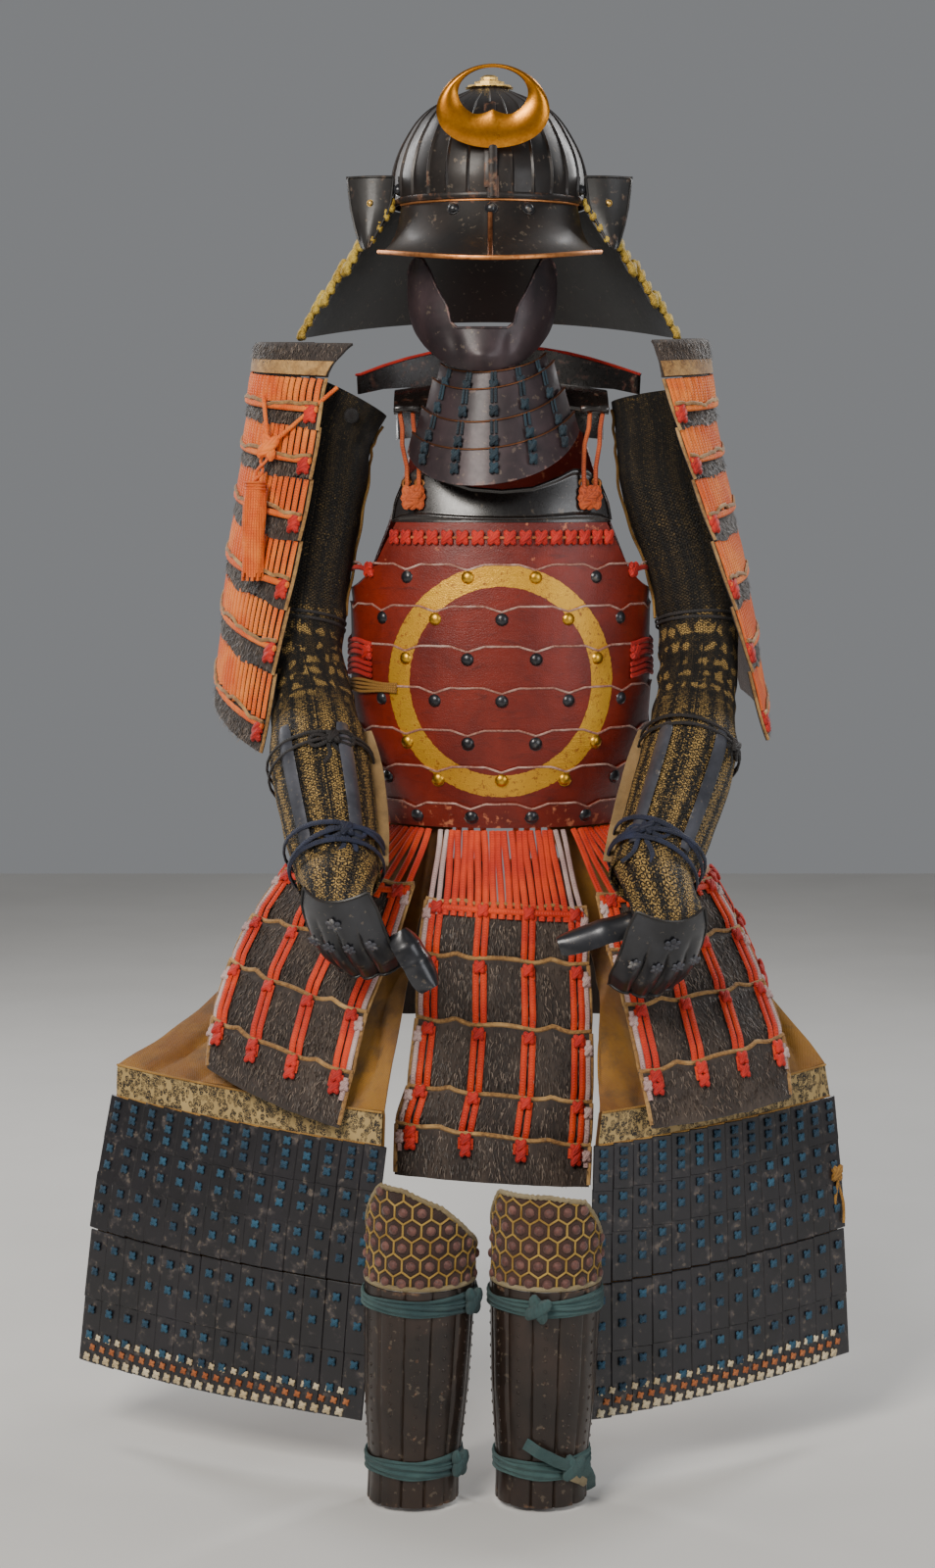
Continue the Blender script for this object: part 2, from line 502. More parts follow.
# %% Mail on gold cloth
def mail_cloth(name):
    """Black links over gold cloth. How much gold shows changes along the sleeve: little on the upper
    arm, bright patches at the elbow, and narrow columns on the forearm."""
    made, tree, shader = open_material(name)
    cut = laid_out(tree)
    place = own_axes(tree)
    weave = use_group(tree, "Plain weave", Vector=cut, Threads=500.0, Slub=0.3)
    along = put(tree, "ShaderNodeSeparateXYZ", Vector=cut).outputs["Y"]
    parts = put(tree, "ShaderNodeSeparateXYZ", Vector=scaled(tree, cut, (190.0, 170.0, 1.0))).outputs
    row = maths(tree, "FLOOR", parts["Y"])
    shifted = maths(tree, "ADD", parts["X"], maths(tree, "MULTIPLY", maths(tree, "MODULO", row, 2.0), 0.5))
    dx = maths(tree, "SUBTRACT", maths(tree, "FRACT", shifted), 0.5)
    dy = maths(tree, "SUBTRACT", maths(tree, "FRACT", parts["Y"]), 0.5)
    far = maths(tree, "SQRT", maths(tree, "ADD", maths(tree, "POWER", dx, 2.0), maths(tree, "POWER", dy, 2.0)))
    wire = maths(tree, "SUBTRACT", 1.0, maths(tree, "MULTIPLY", maths(tree, "ABSOLUTE", maths(tree, "SUBTRACT", far, 0.36)), 7.0))
    link = put(tree, "ShaderNodeClamp", Value=wire).outputs[0]
    patch = put(tree, "ShaderNodeSeparateXYZ", Vector=scaled(tree, cut, (math.pi / 0.019, math.pi / 0.026, 1.0))).outputs
    soft, fine = grain(tree, place, 30.0, 4, 0.7), grain(tree, place, 340.0, 3, 0.7)
    drawn_x = maths(tree, "MULTIPLY_ADD", grain(tree, place, 52.0, 3), 7.0, patch["X"])
    drawn_y = maths(tree, "MULTIPLY_ADD", soft, 6.0, patch["Y"])
    cell = maths(tree, "ABSOLUTE", maths(tree, "MULTIPLY", maths(tree, "SINE", drawn_x), maths(tree, "SINE", drawn_y)))
    column = maths(tree, "ABSOLUTE", maths(tree, "SINE", patch["X"]))
    elbow = ramp(tree, along, [(0.3, grey(0)), (0.35, grey(1)), (0.46, grey(1)), (0.51, grey(0))])
    forearm = ramp(tree, along, [(0.46, grey(0.1)), (0.53, grey(1))])
    bright = maths(tree, "MULTIPLY", elbow, ramp(tree, maths(tree, "MULTIPLY_ADD", cell, 0.5, soft), [(0.76, grey(0)), (0.94, grey(1))]))
    dotted = maths(tree, "MULTIPLY", forearm, ramp(tree, maths(tree, "MULTIPLY_ADD", column, 0.2, fine), [(0.58, grey(0)), (0.72, grey(1))]))
    sparse = ramp(tree, maths(tree, "MULTIPLY_ADD", soft, 0.5, fine), [(0.84, grey(0)), (1.0, grey(0.5))])
    shows = maths(tree, "MAXIMUM", maths(tree, "MAXIMUM", bright, dotted), sparse)
    ground = tinted(tree, weave["Shade"], rgb("6a5020"), rgb("cfa860"))
    ground = tinted(tree, shows, rgb("15110c"), ground)
    colour = tinted(tree, ramp(tree, link, [(0.2, grey(0)), (0.6, grey(1))]), ground, rgb("151311"))
    tree.links.new(colour, shader.inputs["Base Color"])
    tree.links.new(maths(tree, "MULTIPLY", link, 0.6), shader.inputs["Metallic"])
    tree.links.new(maths(tree, "MULTIPLY_ADD", link, -0.25, 0.8), shader.inputs["Roughness"])
    bumped(tree, shader, maths(tree, "MULTIPLY_ADD", link, 1.6, weave["Height"]), 0.0007, 0.9)
    return made


sleeve_mail = mail_cloth("sleeve_mail")
print("cloths made:", len([m for m in bpy.data.materials if "cloth" in m.name]))

# %% [markdown]
# The hanging lames are covered with animal hide, hair side out. The hide under the hair gets a
# skin material, the hairs get one that runs from a dark root to a paler tip, and the turned edges
# are smoked tan leather.

# %% Hide, hair and edge leather
def hide(name, base, light, dark, scale=60.0, rough=0.8, stretch=(1, 1, 1), depth=0.0006):
    made, tree, shader = open_material(name)
    place = own_axes(tree, stretch)
    patina = use_group(tree, "Patina", Vector=place, Scale=scale / 3)
    streak = grain(tree, place, scale * 4, 5, 0.7, 0.6)
    colour = tinted(tree, ramp(tree, streak, [(0.35, grey(0)), (0.68, grey(1))]), rgb(dark), rgb(base))
    colour = tinted(tree, ramp(tree, patina["Blotch"], [(0.48, grey(0)), (0.75, grey(0.8))]), colour, rgb(light))
    tree.links.new(colour, shader.inputs["Base Color"])
    tree.links.new(maths(tree, "MULTIPLY_ADD", streak, 0.2, rough - 0.1), shader.inputs["Roughness"])
    shader.inputs["Sheen Weight"].default_value = 0.2
    bumped(tree, shader, streak, depth, 0.8)
    return made


fur_skin = hide("fur_skin", "3c2f28", "54463b", "1b1410", scale=90.0, stretch=(1, 1, 0.25), depth=0.0012)
worn_leather = hide("worn_leather", "ad7f70", "dcc0b2", "733a2b", scale=90.0, rough=0.5)
tan_edge = hide("tan_edge", "a87c42", "cfa76b", "63421f", scale=70.0)
pad_leather = hide("pad_leather", "1f1a18", "352b26", "0e0b0a", scale=90.0, rough=0.6)
scale_leather = lacquer("scale_leather", "131114", "1e1b20", "47403f", rough=0.38, amount=0.25, coat=0.3)
dome_leather = hide("dome_leather", "6a3f36", "8a5a4c", "3a1e19", scale=120.0, rough=0.6)


def hair(name, root, tip, pale):
    made, tree, shader = open_material(name)
    parts = put(tree, "ShaderNodeSeparateXYZ", Vector=laid_out(tree)).outputs
    colour = tinted(tree, parts["Y"], rgb(root), rgb(tip))
    colour = tinted(tree, ramp(tree, parts["X"], [(0.55, grey(0)), (0.95, grey(1))]), colour, rgb(pale))
    patch = grain(tree, own_axes(tree), 24.0, 4, 0.6)
    colour = tinted(tree, ramp(tree, patch, [(0.45, grey(0)), (0.65, grey(0.65))]), colour, rgb(root))
    tree.links.new(colour, shader.inputs["Base Color"])
    tree.links.new(maths(tree, "MULTIPLY_ADD", parts["X"], 0.15, 0.5), shader.inputs["Roughness"])
    return made


brown_hair = hair("brown_hair", "251c17", "5c4e43", "807062")

# The floor is plain pale paper
paper, tree, shader = open_material("studio_paper")
shade = tinted(tree, grain(tree, own_axes(tree), 3.0, 3), rgb("c4c2be"), rgb("d2d0cc"))
tree.links.new(shade, shader.inputs["Base Color"])
shader.inputs["Roughness"].default_value = 0.8
bumped(tree, shader, grain(tree, own_axes(tree), 300.0, 3), 0.0002, 0.3)
floor.data.materials.append(paper)
print("materials so far:", len(bpy.data.materials))

# %% [markdown]
# Helpers for modelling. A sheet starts as a flat grid, whose points are then moved onto the
# measured surface, and the Solidify modifier gives it its thickness. Braid has to keep its flat
# side against what it lies on, which a bevelled curve does not, so it is swept along its points with
# its own facing direction. A repeated piece is modelled once and spread as copies.

# %% Helpers for modelling
def deselect():
    if bpy.context.object and bpy.context.object.mode != "OBJECT":
        bpy.ops.object.mode_set(mode="OBJECT")
    bpy.ops.object.select_all(action="DESELECT")


def take(piece):
    deselect()
    piece.select_set(True)
    bpy.context.view_layer.objects.active = piece
    return piece


def own(piece, name, slot, *finishes, smooth=35):
    """Names a piece, gives it its finish and its place in the frame."""
    take(piece)
    piece.name = piece.data.name = name
    piece.data.materials.clear()
    for finish in finishes:
        piece.data.materials.append(finish)
    if smooth:
        bpy.ops.object.shade_smooth_by_angle(angle=math.radians(smooth))
    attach(piece, "root")
    return piece


def join(pieces):
    take(pieces[0])
    for piece in pieces:
        piece.select_set(True)
    if len(pieces) > 1:
        bpy.ops.object.join()
    return pieces[0]


def apply_modifier(piece, kind, **settings):
    take(piece)
    modifier = piece.modifiers.new(kind.title(), kind)
    for key, value in settings.items():
        setattr(modifier, key, value)
    bpy.ops.object.modifier_apply(modifier=modifier.name)


def formed(name, across, along, place, size=(0.1, 0.1), away=None, thick=0.0, seam=False):
    """A grid whose points are moved to place(u, v), with its face away from a point."""
    deselect()
    bpy.ops.mesh.primitive_grid_add(x_subdivisions=across, y_subdivisions=along, size=1)
    piece = bpy.context.object
    piece.name = piece.data.name = name
    for vert in piece.data.vertices:
        vert.co = point(*place(vert.co.x + 0.5, vert.co.y + 0.5))
    for corner in piece.data.uv_layers.active.data:
        corner.uv = (corner.uv[0] * size[0], corner.uv[1] * size[1])
    bpy.ops.object.mode_set(mode="EDIT")
    bpy.ops.mesh.select_all(action="SELECT")
    if seam:
        bpy.ops.mesh.remove_doubles(threshold=0.00001)
    if away is not None:
        bpy.ops.object.mode_set(mode="OBJECT")
        heart = point(*away)
        facing = sum(p.normal.dot(p.center - heart) * p.area for p in piece.data.polygons)
        bpy.ops.object.mode_set(mode="EDIT")
        if facing < 0:
            bpy.ops.mesh.flip_normals()
    bpy.ops.object.mode_set(mode="OBJECT")
    if thick:
        apply_modifier(piece, "SOLIDIFY", thickness=thick / 1000, offset=-1, use_quality_normals=True)
    return piece


def braids(name, runs, wide, thick, sides=6):
    """Flat braids in one mesh. A run is (points, facing): facing is one direction or one a point."""
    verts, faces, around = [], [], []
    for points, facing in runs:
        points = [Vector(p) for p in points]
        start, length = len(verts), 0.0
        for i, here in enumerate(points):
            ahead = (points[min(i + 1, len(points) - 1)] - points[max(i - 1, 0)]).normalized()
            out = Vector(facing[i] if isinstance(facing, list) else facing)
            out = (out - ahead * out.dot(ahead)).normalized()
            side = ahead.cross(out)
            length += (here - points[i - 1]).length / 1000 if i else 0
            for s in range(sides):
                a = 2 * math.pi * s / sides
                spot = here + side * (wide / 2 * math.cos(a)) + out * (thick / 2 * math.sin(a))
                verts.append(point(*spot))
                around.append((s / sides, length))
        for i in range(len(points) - 1):
            for s in range(sides):
                a, b = start + i * sides + s, start + i * sides + (s + 1) % sides
                faces.append((a, b, b + sides, a + sides))
        faces.append(tuple(start + s for s in range(sides))[::-1])
        faces.append(tuple(start + (len(points) - 1) * sides + s for s in range(sides)))
    mesh = bpy.data.meshes.new(name)
    mesh.from_pydata(verts, [], faces)
    lay = mesh.uv_layers.new(name="UVMap")
    for face in mesh.polygons:
        for corner, vert in zip(face.loop_indices, face.vertices):
            u, v = around[vert]
            if face.index and u == 0 and any(around[w][0] > 0.6 for w in face.vertices):
                u = 1.0
            lay.data[corner].uv = (u, v)
    piece = bpy.data.objects.new(name, mesh)
    bpy.context.collection.objects.link(piece)
    take(piece)
    bpy.ops.object.mode_set(mode="EDIT")
    bpy.ops.mesh.select_all(action="SELECT")
    bpy.ops.mesh.normals_make_consistent(inside=False)
    bpy.ops.object.mode_set(mode="OBJECT")
    return piece


def spread(template, places):
    """Copies of one modelled piece, each with its own mesh, at (spot, out, up, size)."""
    copies = []
    for spot, out, up, size in places:
        out, up = Vector(out).normalized(), Vector(up)
        up = (up - out * up.dot(out)).normalized()
        side = up.cross(out)
        turn = Matrix((side, -out, up)).transposed().to_4x4()
        copy = bpy.data.objects.new(template.name, template.data.copy())
        copy.data.transform(Matrix.Translation(point(*spot)) @ turn @ Matrix.Diagonal((size, size, size, 1)))
        bpy.context.collection.objects.link(copy)
        copies.append(copy)
    return join(copies)


print("helpers ready")

# %% [markdown]
# The helmet, mask, cuirass, splints and hand plates already have their true shape as solids, so they
# stay as they are and only get their finishes. The loop below is a list of who wears what.

# %% Finishes of the solids that stay
def coat(names, finish):
    for name in names.split():
        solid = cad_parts[name]
        for place in solid.material_slots:
            place.material = finish
        if not solid.material_slots:
            solid.data.materials.append(finish)


coat("helmet_bowl helmet_visor", bowl_iron)
coat("helmet_crest", crest_copper)
coat("crown_finial", finial_brass)
coat("turn_back_right turn_back_left neck_lame_1 neck_lame_2 neck_lame_3 neck_lame_4", lame_iron)
coat("face_guard throat_lame_1 throat_lame_2 throat_lame_3 throat_lame_4", mask_iron)
coat("cuirass_front", breast_leather)
coat("cuirass_back", back_leather)
coat("chest_yoke collar shoulder_strap_right shoulder_strap_left", strap_lacquer)
coat("hand_plate_right hand_plate_left thumb_plate_right thumb_plate_left", plate_iron)
coat("splint_outer_right splint_inner_right splint_outer_left splint_inner_left", plate_iron)
coat("shin_guard_right shin_guard_left", shin_iron)
coat("hand_pad_right hand_pad_left", pad_leather)
def smooth_copy(node, name, slot, finish, angle=32):
    """A solid's mesh is loose triangles, so a copy of it is merged, shaded smooth and shown instead."""
    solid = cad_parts[node]
    mesh = solid.data.copy()
    mesh.transform(solid.matrix_world)
    piece = bpy.data.objects.new(name, mesh)
    bpy.context.collection.objects.link(piece)
    take(piece)
    bpy.ops.mesh.customdata_custom_splitnormals_clear()
    bpy.ops.object.mode_set(mode="EDIT")
    bpy.ops.mesh.select_all(action="SELECT")
    bpy.ops.mesh.remove_doubles(threshold=0.00001)
    bpy.ops.object.mode_set(mode="OBJECT")
    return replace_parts(own(piece, name, slot, finish, smooth=angle), node)


smooth_copy("cuirass_front", "breast_plates", "red_leather", breast_leather)
smooth_copy("cuirass_back", "back_plates", "red_leather", back_leather)
smooth_copy("collar", "standing_collar", "black_lacquer", strap_lacquer)
for side in ("right", "left"):
    smooth_copy(f"shoulder_strap_{side}", f"lacquered_strap_{side}", "black_lacquer", strap_lacquer)
    smooth_copy(f"turn_back_{side}", f"lacquered_turn_back_{side}", "black_iron", lame_iron)
print("solids shown as smooth copies: 7")

# %% [markdown]
# Rivets and studs are domes with a small foot. One dome is modelled: half a sphere is cut from a
# primitive by bisecting it, its foot is extruded outwards, and copies go where the photograph
# shows them.

# %% One domed rivet
def domed_rivet(radius, height, foot=0.16):
    deselect()
    bpy.ops.mesh.primitive_uv_sphere_add(segments=10, ring_count=6, radius=1, rotation=(math.pi / 2, 0, 0))
    dome = bpy.context.object
    bpy.ops.object.transform_apply(location=False, rotation=True, scale=False)
    bpy.ops.object.mode_set(mode="EDIT")
    bpy.ops.mesh.select_all(action="SELECT")
    bpy.ops.mesh.bisect(plane_co=(0, 0, 0), plane_no=(0, 1, 0), clear_outer=True)
    bpy.ops.mesh.select_all(action="DESELECT")
    bpy.ops.object.mode_set(mode="OBJECT")
    for edge in dome.data.edges:
        edge.select = all(abs(dome.data.vertices[v].co.y) < 1e-4 for v in edge.vertices)
    bpy.ops.object.mode_set(mode="EDIT")
    bpy.ops.mesh.select_mode(type="EDGE")
    bpy.ops.mesh.extrude_edges_move()
    bpy.ops.transform.resize(value=(1 + foot, 1, 1 + foot))
    bpy.ops.mesh.extrude_edges_move(TRANSFORM_OT_translate={"value": (0, 0.5, 0)})
    bpy.ops.object.mode_set(mode="OBJECT")
    for vert in dome.data.vertices:
        vert.co.x *= radius / 1000
        vert.co.z *= radius / 1000
        vert.co.y *= height / 1000
    return dome


def shed(template):
    bpy.data.objects.remove(template)


# The bowl's and visor's forms, as on the solids
HELMET = {"x": -1, "y": -5, "rim": 1350}
BOWL = [(-2, 106, 124), (1.5, 106, 124), (34, 106, 124), (70, 93, 109), (104, 66, 79), (128, 18, 22)]
BOWL_PLATES = 28


def bowl_at(turns, up, lift=0.0):
    wide, deep = read(BOWL, 1, up), read(BOWL, 2, up)
    return on_oval(HELMET["x"], HELMET["y"], wide + lift, deep + lift, 360 * turns, HELMET["rim"] + up)


def visor_at(degrees, share, lift=0.0):
    rise = 13 * math.sin(math.radians(degrees)) ** 2 / math.sin(math.radians(64)) ** 2
    lip = on_oval(HELMET["x"], HELMET["y"], 131 + lift, 184 + lift, degrees, 1282 + rise)
    top = on_oval(HELMET["x"], HELMET["y"], 106.5 + lift, 124.5 + lift, degrees, 1347.5)
    spot = lip.lerp(top, share)
    spot.z -= 9 * math.sin(math.pi * share)
    inward = Vector((HELMET["x"] - spot.x, HELMET["y"] - spot.y, 0)).normalized()
    return spot + inward * 4 * math.sin(math.pi * share)


def away_from(middle, spot):
    return Vector((spot.x - middle[0], spot.y - middle[1], 0)).normalized()


dome = domed_rivet(6.2, 4.6)
studs = []
for degrees in (-21, 0.5, 22):
    spot = visor_at(degrees, 0.9, 1.5)
    studs.append((spot, away_from((-1, 20), spot) + Vector((0, 0, 0.5)), (0, 0, 1), 1))
for turns in (-0.19, 0.19, 0.31, -0.31, 0.5):
    spot = bowl_at(turns, 14, 1.6)
    studs.append((spot, away_from((-1, -5), spot), (0, 0, 1), 0.9))
own(spread(dome, studs), "helmet_studs", "black_iron", plate_iron)
shed(dome)
print("helmet studs:", len(studs))

# %% [markdown]
# Copper edges the visor, the seam between bowl and visor, and the top edge of each throat lame.
# Each is a narrow bead that follows the plate's own edge, so it is swept along the same points.

# %% Copper beads on the helmet
lip = [visor_at(d, 0.0, 2.4) for d in steps(40, -64.5, 64.5)]
seam = [on_oval(HELMET["x"], HELMET["y"], 107.6, 125.6, d, 1347.2) for d in steps(30, -64, 64)]
band = [on_oval(HELMET["x"], HELMET["y"], 107.4, 125.4, d, 1352.5) for d in steps(60, 0, 360)]
own(braids("copper_visor_rim", [(lip, [away_from((-1, 20), p) for p in lip])], 5.2, 3.6, 8),
    "copper_visor_rim", "gilt_copper", rim_copper)
own(braids("copper_seam", [(seam, [away_from((-1, 0), p) for p in seam])], 2.4, 1.8), "copper_seam", "gilt_copper", rim_copper)
own(braids("bowl_band", [(band, [away_from((-1, -5), p) for p in band])], 6.5, 2.2), "bowl_band", "black_iron", bowl_iron)
own(braids("crest_holder", [([(2, -131.6, 1349), (2, -131.2, 1360), (2, -130, 1372)], (0, -1, 0.1))], 13, 3.4, 8),
    "crest_holder", "black_iron", bowl_iron)
ridge = [visor_at(0.0, share, 2.6) for share in steps(10, 0.02, 0.84)]
own(braids("visor_ridge", [(ridge, [away_from((-1, 20), p) + Vector((0, 0, 0.7)) for p in ridge])], 5.5, 2.6, 8), "visor_ridge", "gilt_copper", dark_copper)


def crest_at(a, b):
    """The crest: a round outline and a higher hole with a cusp below, hammered forward between them."""
    turn, cusp = 2 * math.pi * a, 9 * bump(2 * math.pi * a - math.pi, 0.62) ** 1.4
    rim = Vector((60 * math.sin(turn), 0, 43.5 * math.cos(turn) - 5 * math.sin(turn) ** 2))
    hole = Vector((37 * math.sin(turn), 0, 13.5 + 26 * math.cos(turn) + cusp))
    spot = rim.lerp(hole, b)
    dome = min(4.2, 0.2 * (rim - hole).length) * math.sin(math.pi * b) ** 0.7
    return (2 + spot.x, -135.8 - 0.07 * spot.z - dome, 1444.5 + spot.z)


crest = formed("crest", 96, 10, crest_at, (0.3, 0.03), (2, -60, 1444), 1.6, seam=True)
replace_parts(own(crest, "copper_crest", "gilt_copper", crest_copper, smooth=60), "helmet_crest")
own(braids("crest_prong", [([(2, -133.4, z) for z in steps(4, 1350.4, 1412)], (0, -1, 0))], 9, 2.4, 8), "crest_prong", "black_iron", bowl_iron)
print("visor rim", round(sum((a - b).length for a, b in zip(lip, lip[1:]))), "mm long")

# %% [markdown]
# The crown's finial is a small brass flower: tiers of petals round a tube. A petal is a flattened
# sphere, and rings of copies stand on the finial's solid.

# %% Finial petals
deselect()
bpy.ops.mesh.primitive_uv_sphere_add(segments=8, ring_count=5, radius=0.001)
petal = bpy.context.object
for vert in petal.data.vertices:
    vert.co.x *= 3.6
    vert.co.z *= 7.0 * (1.25 if vert.co.z > 0 else 1)
    vert.co.y *= 1.1
petals = []
for count, reach, high, slope in ((12, 19, 1481.6, 0.12), (10, 12.5, 1486.2, 0.4)):
    for k in range(count):
        a = 2 * math.pi * (k + 0.5) / count
        way = Vector((math.sin(a), -math.cos(a), -slope))
        petals.append((Vector((HELMET["x"], HELMET["y"], high)) + way * reach, (way.x * slope, way.y * slope, 1), way, 1))
own(spread(petal, petals), "finial_petals", "gilt_copper", finial_brass)
shed(petal)
print("petals:", len(petals))

# %% [markdown]
# The turn-backs at the sides of the visor carry one gilt rivet each, and a thin rim. Their surface
# is read from the same four rows as the solid, which runs from the near edge to the far one.

# %% Turn-back trim
TURN_BACK = [(1300, 132, 139, -58.2, -52), (1320, 121, 147, -54.6, -44), (1345, 107, 153, -49.6, -38), (1380, 103, 157, -48, -34)]


def turn_back_at(sign, share, z, lift=0.0):
    near, far = read_straight(TURN_BACK, 1, z), read_straight(TURN_BACK, 2, z)
    near_y, far_y = read_straight(TURN_BACK, 3, z), read_straight(TURN_BACK, 4, z)
    x = HELMET["x"] + sign * lerp(near, far, share)
    return Vector((x, lerp(near_y, far_y, share) - 7 * math.sin(math.pi * share) - lift, z))


dome = domed_rivet(3.4, 2.6)
own(spread(dome, [(turn_back_at(s, 0.5, 1350, 0.2), (0, -1, 0), (0, 0, 1), 1) for s in (-1, 1)]),
    "gilt_rivets", "gilt_copper", finial_brass)
shed(dome)
edges = []
for sign in (-1, 1):
    path = [turn_back_at(sign, 0.03, z, 0.6) for z in steps(6, 1302, 1376)]
    path += [turn_back_at(sign, s, 1378.6, 0.6) for s in steps(5, 0.06, 0.94)]
    path += [turn_back_at(sign, 0.97, z, 0.6) for z in steps(6, 1376, 1302)]
    edges.append((path, (0, -1, 0)))
own(braids("turn_back_rims", edges, 2.6, 2.2), "turn_back_rims", "black_iron", lame_iron)
print("turn-back rims:", len(edges))

# %% [markdown]
# A knot is the mark of this suit: hundreds of them hold the lacing. Each is two short crossed loops
# of braid. One loop is made from a cube that is subdivided, rounded and flattened. It is duplicated,
# and the two are turned against each other, with the turning point given.

# %% Knots
def cross_knot(wide, tall, deep, turn=32, cuts=1):
    deselect()
    bpy.ops.mesh.primitive_cube_add(size=2)
    knot = bpy.context.object
    bpy.ops.object.mode_set(mode="EDIT")
    bpy.ops.mesh.select_all(action="SELECT")
    bpy.ops.mesh.subdivide(number_cuts=cuts)
    bpy.ops.transform.tosphere(value=0.8)
    bpy.ops.transform.resize(value=(1, 0.5, 0.42))
    bpy.ops.mesh.duplicate()
    bpy.ops.transform.rotate(value=math.radians(turn), orient_axis="Y", center_override=(0, 0, 0))
    bpy.ops.transform.translate(value=(0, -0.16, 0))
    bpy.ops.mesh.select_all(action="INVERT")
    bpy.ops.transform.rotate(value=math.radians(-turn), orient_axis="Y", center_override=(0, 0, 0))
    bpy.ops.object.mode_set(mode="OBJECT")
    for vert in knot.data.vertices:
        vert.co = (vert.co.x * wide / 2000, vert.co.y * deep / 1000, vert.co.z * tall / 1100)
    for corner in knot.data.uv_layers.active.data:
        corner.uv = (corner.uv[0], corner.uv[1] * wide / 900)
    return knot


knot = cross_knot(13, 10, 5)
print("a knot has", len(knot.data.polygons), "faces")
shed(knot)

# %% [markdown]
# The mask covers cheeks and chin only, so its outline and a few soft swellings say all: the chin stands
# forward, the cheeks swell beside the opening, and a crease runs down from each corner of the nose.
# Its two tables are the solid's own: the outline by degrees, and the size by height.

# %% Fine mask
FACE = {"x": -9, "y": -42}
FACE_EDGES = [
    (0, 1213, 1166), (20, 1213, 1168), (25, 1219, 1169), (27, 1237, 1170), (34, 1253, 1172),
    (43, 1275, 1177), (51, 1288, 1184), (61, 1291, 1194), (70, 1284, 1208), (76, 1270, 1222),
]
FACE_SHAPE = [(1160, 56, 80), (1172, 62, 88), (1190, 70, 91), (1215, 79, 87), (1250, 84, 84), (1295, 82, 80)]


def swelling(across, wide, up, tall):
    return math.exp(-((across / wide) ** 2) - (up / tall) ** 2)


def mask_at(degrees, share, lift=0.0):
    z = lerp(read_straight(FACE_EDGES, 2, abs(degrees)), read_straight(FACE_EDGES, 1, abs(degrees)), share)
    lift += 4.5 * swelling(degrees, 14, z - 1181, 9) + 3.0 * swelling(abs(degrees) - 42, 15, z - 1224, 22)
    lift -= 2.4 * swelling(abs(degrees) - 25, 6, z - 1197, 13)
    return on_oval(FACE["x"], FACE["y"], read(FACE_SHAPE, 1, z) + lift, read(FACE_SHAPE, 2, z) + lift, degrees, z)


mask = formed("mask", 120, 36, lambda a, b: mask_at(lerp(-76, 76, a), b), (0.24, 0.1), (FACE["x"], 20, 1220), 2)
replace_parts(own(mask, "lacquered_mask", "russet_iron", mask_iron, smooth=50), "face_guard")
rim = [mask_at(d, 0.985, 0.4) for d in steps(90, -75, 75)]
own(braids("rim", [(rim, [away_from((FACE["x"], 20), p) for p in rim])], 2.6, 2.6), "mask_rim", "russet_iron", mask_iron)
print("mask:", len(mask.data.polygons), "faces")

# %% [markdown]
# The throat guard's four lames are laced with blue braid in five columns, a pair of strands with a
# knot on each lame. The strands pass behind each lame's top edge, so they start on its face. The
# copper edge on top of each lame is a bead along the edge curve.

# %% Throat guard lacing
THROAT = {"x": 3, "y": -52}
THROAT_LAMES = [
    (1166.4, 1140, 60, 68, 72, 80, 16, 6), (1149, 1106, 69.3, 80, 81.3, 92, 22, 10),
    (1114, 1076, 81.6, 92, 93.6, 104, 27, 11), (1085, 1046, 92.7, 99, 106.2, 118, 29, 12),
]


def throat_at(i, degrees, share, lift=0.0):
    top, low, wide_top, wide_low, deep_top, deep_low, rise, roll = THROAT_LAMES[i]
    a = math.radians(degrees)
    z = lerp(low, top, share) + rise * (1 - math.cos(a)) / (1 - math.cos(math.radians(71))) + roll * math.sin(a)
    if i == 3:
        z += 16 * (1 - share) * (abs(degrees) / 71) ** 3
    return on_oval(THROAT["x"], THROAT["y"], lerp(wide_low, wide_top, share) + lift,
                   lerp(deep_low, deep_top, share) + lift, degrees, z)


beads = []
for i in range(4):
    lame = formed("lame", 60, 8, lambda a, b, i=i: throat_at(i, lerp(-71, 71, a), b), (0.22, 0.035), (3, 40, 1100), 2)
    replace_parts(own(lame, f"throat_iron_{i + 1}", "russet_iron", mask_iron, smooth=50), f"throat_lame_{i + 1}")
    path = [throat_at(i, d, 0.985, 1.0) for d in steps(30, -70, 70)]
    beads.append((path, [away_from((3, -52), p) for p in path]))
own(braids("throat_copper_edges", beads, 1.8, 2.0), "throat_copper_edges", "gilt_copper", dark_copper)

columns = (-50, -25, 0, 25, 50)
laces, knots = [], []
for i in range(4):
    for degrees in columns:
        for pair in (-1.6, 1.6):
            path = [throat_at(i, degrees + pair, s, 1.5 + 0.8 * math.sin(math.pi * min(1, s * 1.4))) for s in steps(5, 0.98, 0.62)]
            laces.append((path, away_from((3, -52), path[0])))
        for share in ((0.42,) if i < 3 else (0.44, 0.8)):
            spot = throat_at(i, degrees, share, 3.6)
            knots.append((spot, away_from((3, -52), spot), (0, 0, 1), 1))
own(braids("throat_lacing", laces, 3.2, 1.6), "throat_lacing", "teal_cloth", throat_silk)
knot = cross_knot(9, 8, 3.6)
own(spread(knot, knots), "throat_knots", "teal_cloth", throat_silk, smooth=80)
shed(knot)
print("throat guard:", len(laces), "strands,", len(knots), "knots")

# %% [markdown]
# The neck guard is laced in yellow all round. Its lames overlap, so a pair of strands shows below
# each lame's lower edge and runs up its face to a row of knots, every 20 mm along the lame.

# %% Neck guard lacing
NECK_LAMES = [
    (1348, 1310, 109, 134, 127, 151, 71), (1317, 1277, 135, 157, 152, 174, 78),
    (1284, 1244, 158, 180, 175, 197, 83), (1251, 1208, 181, 205, 198, 222, 87),
]


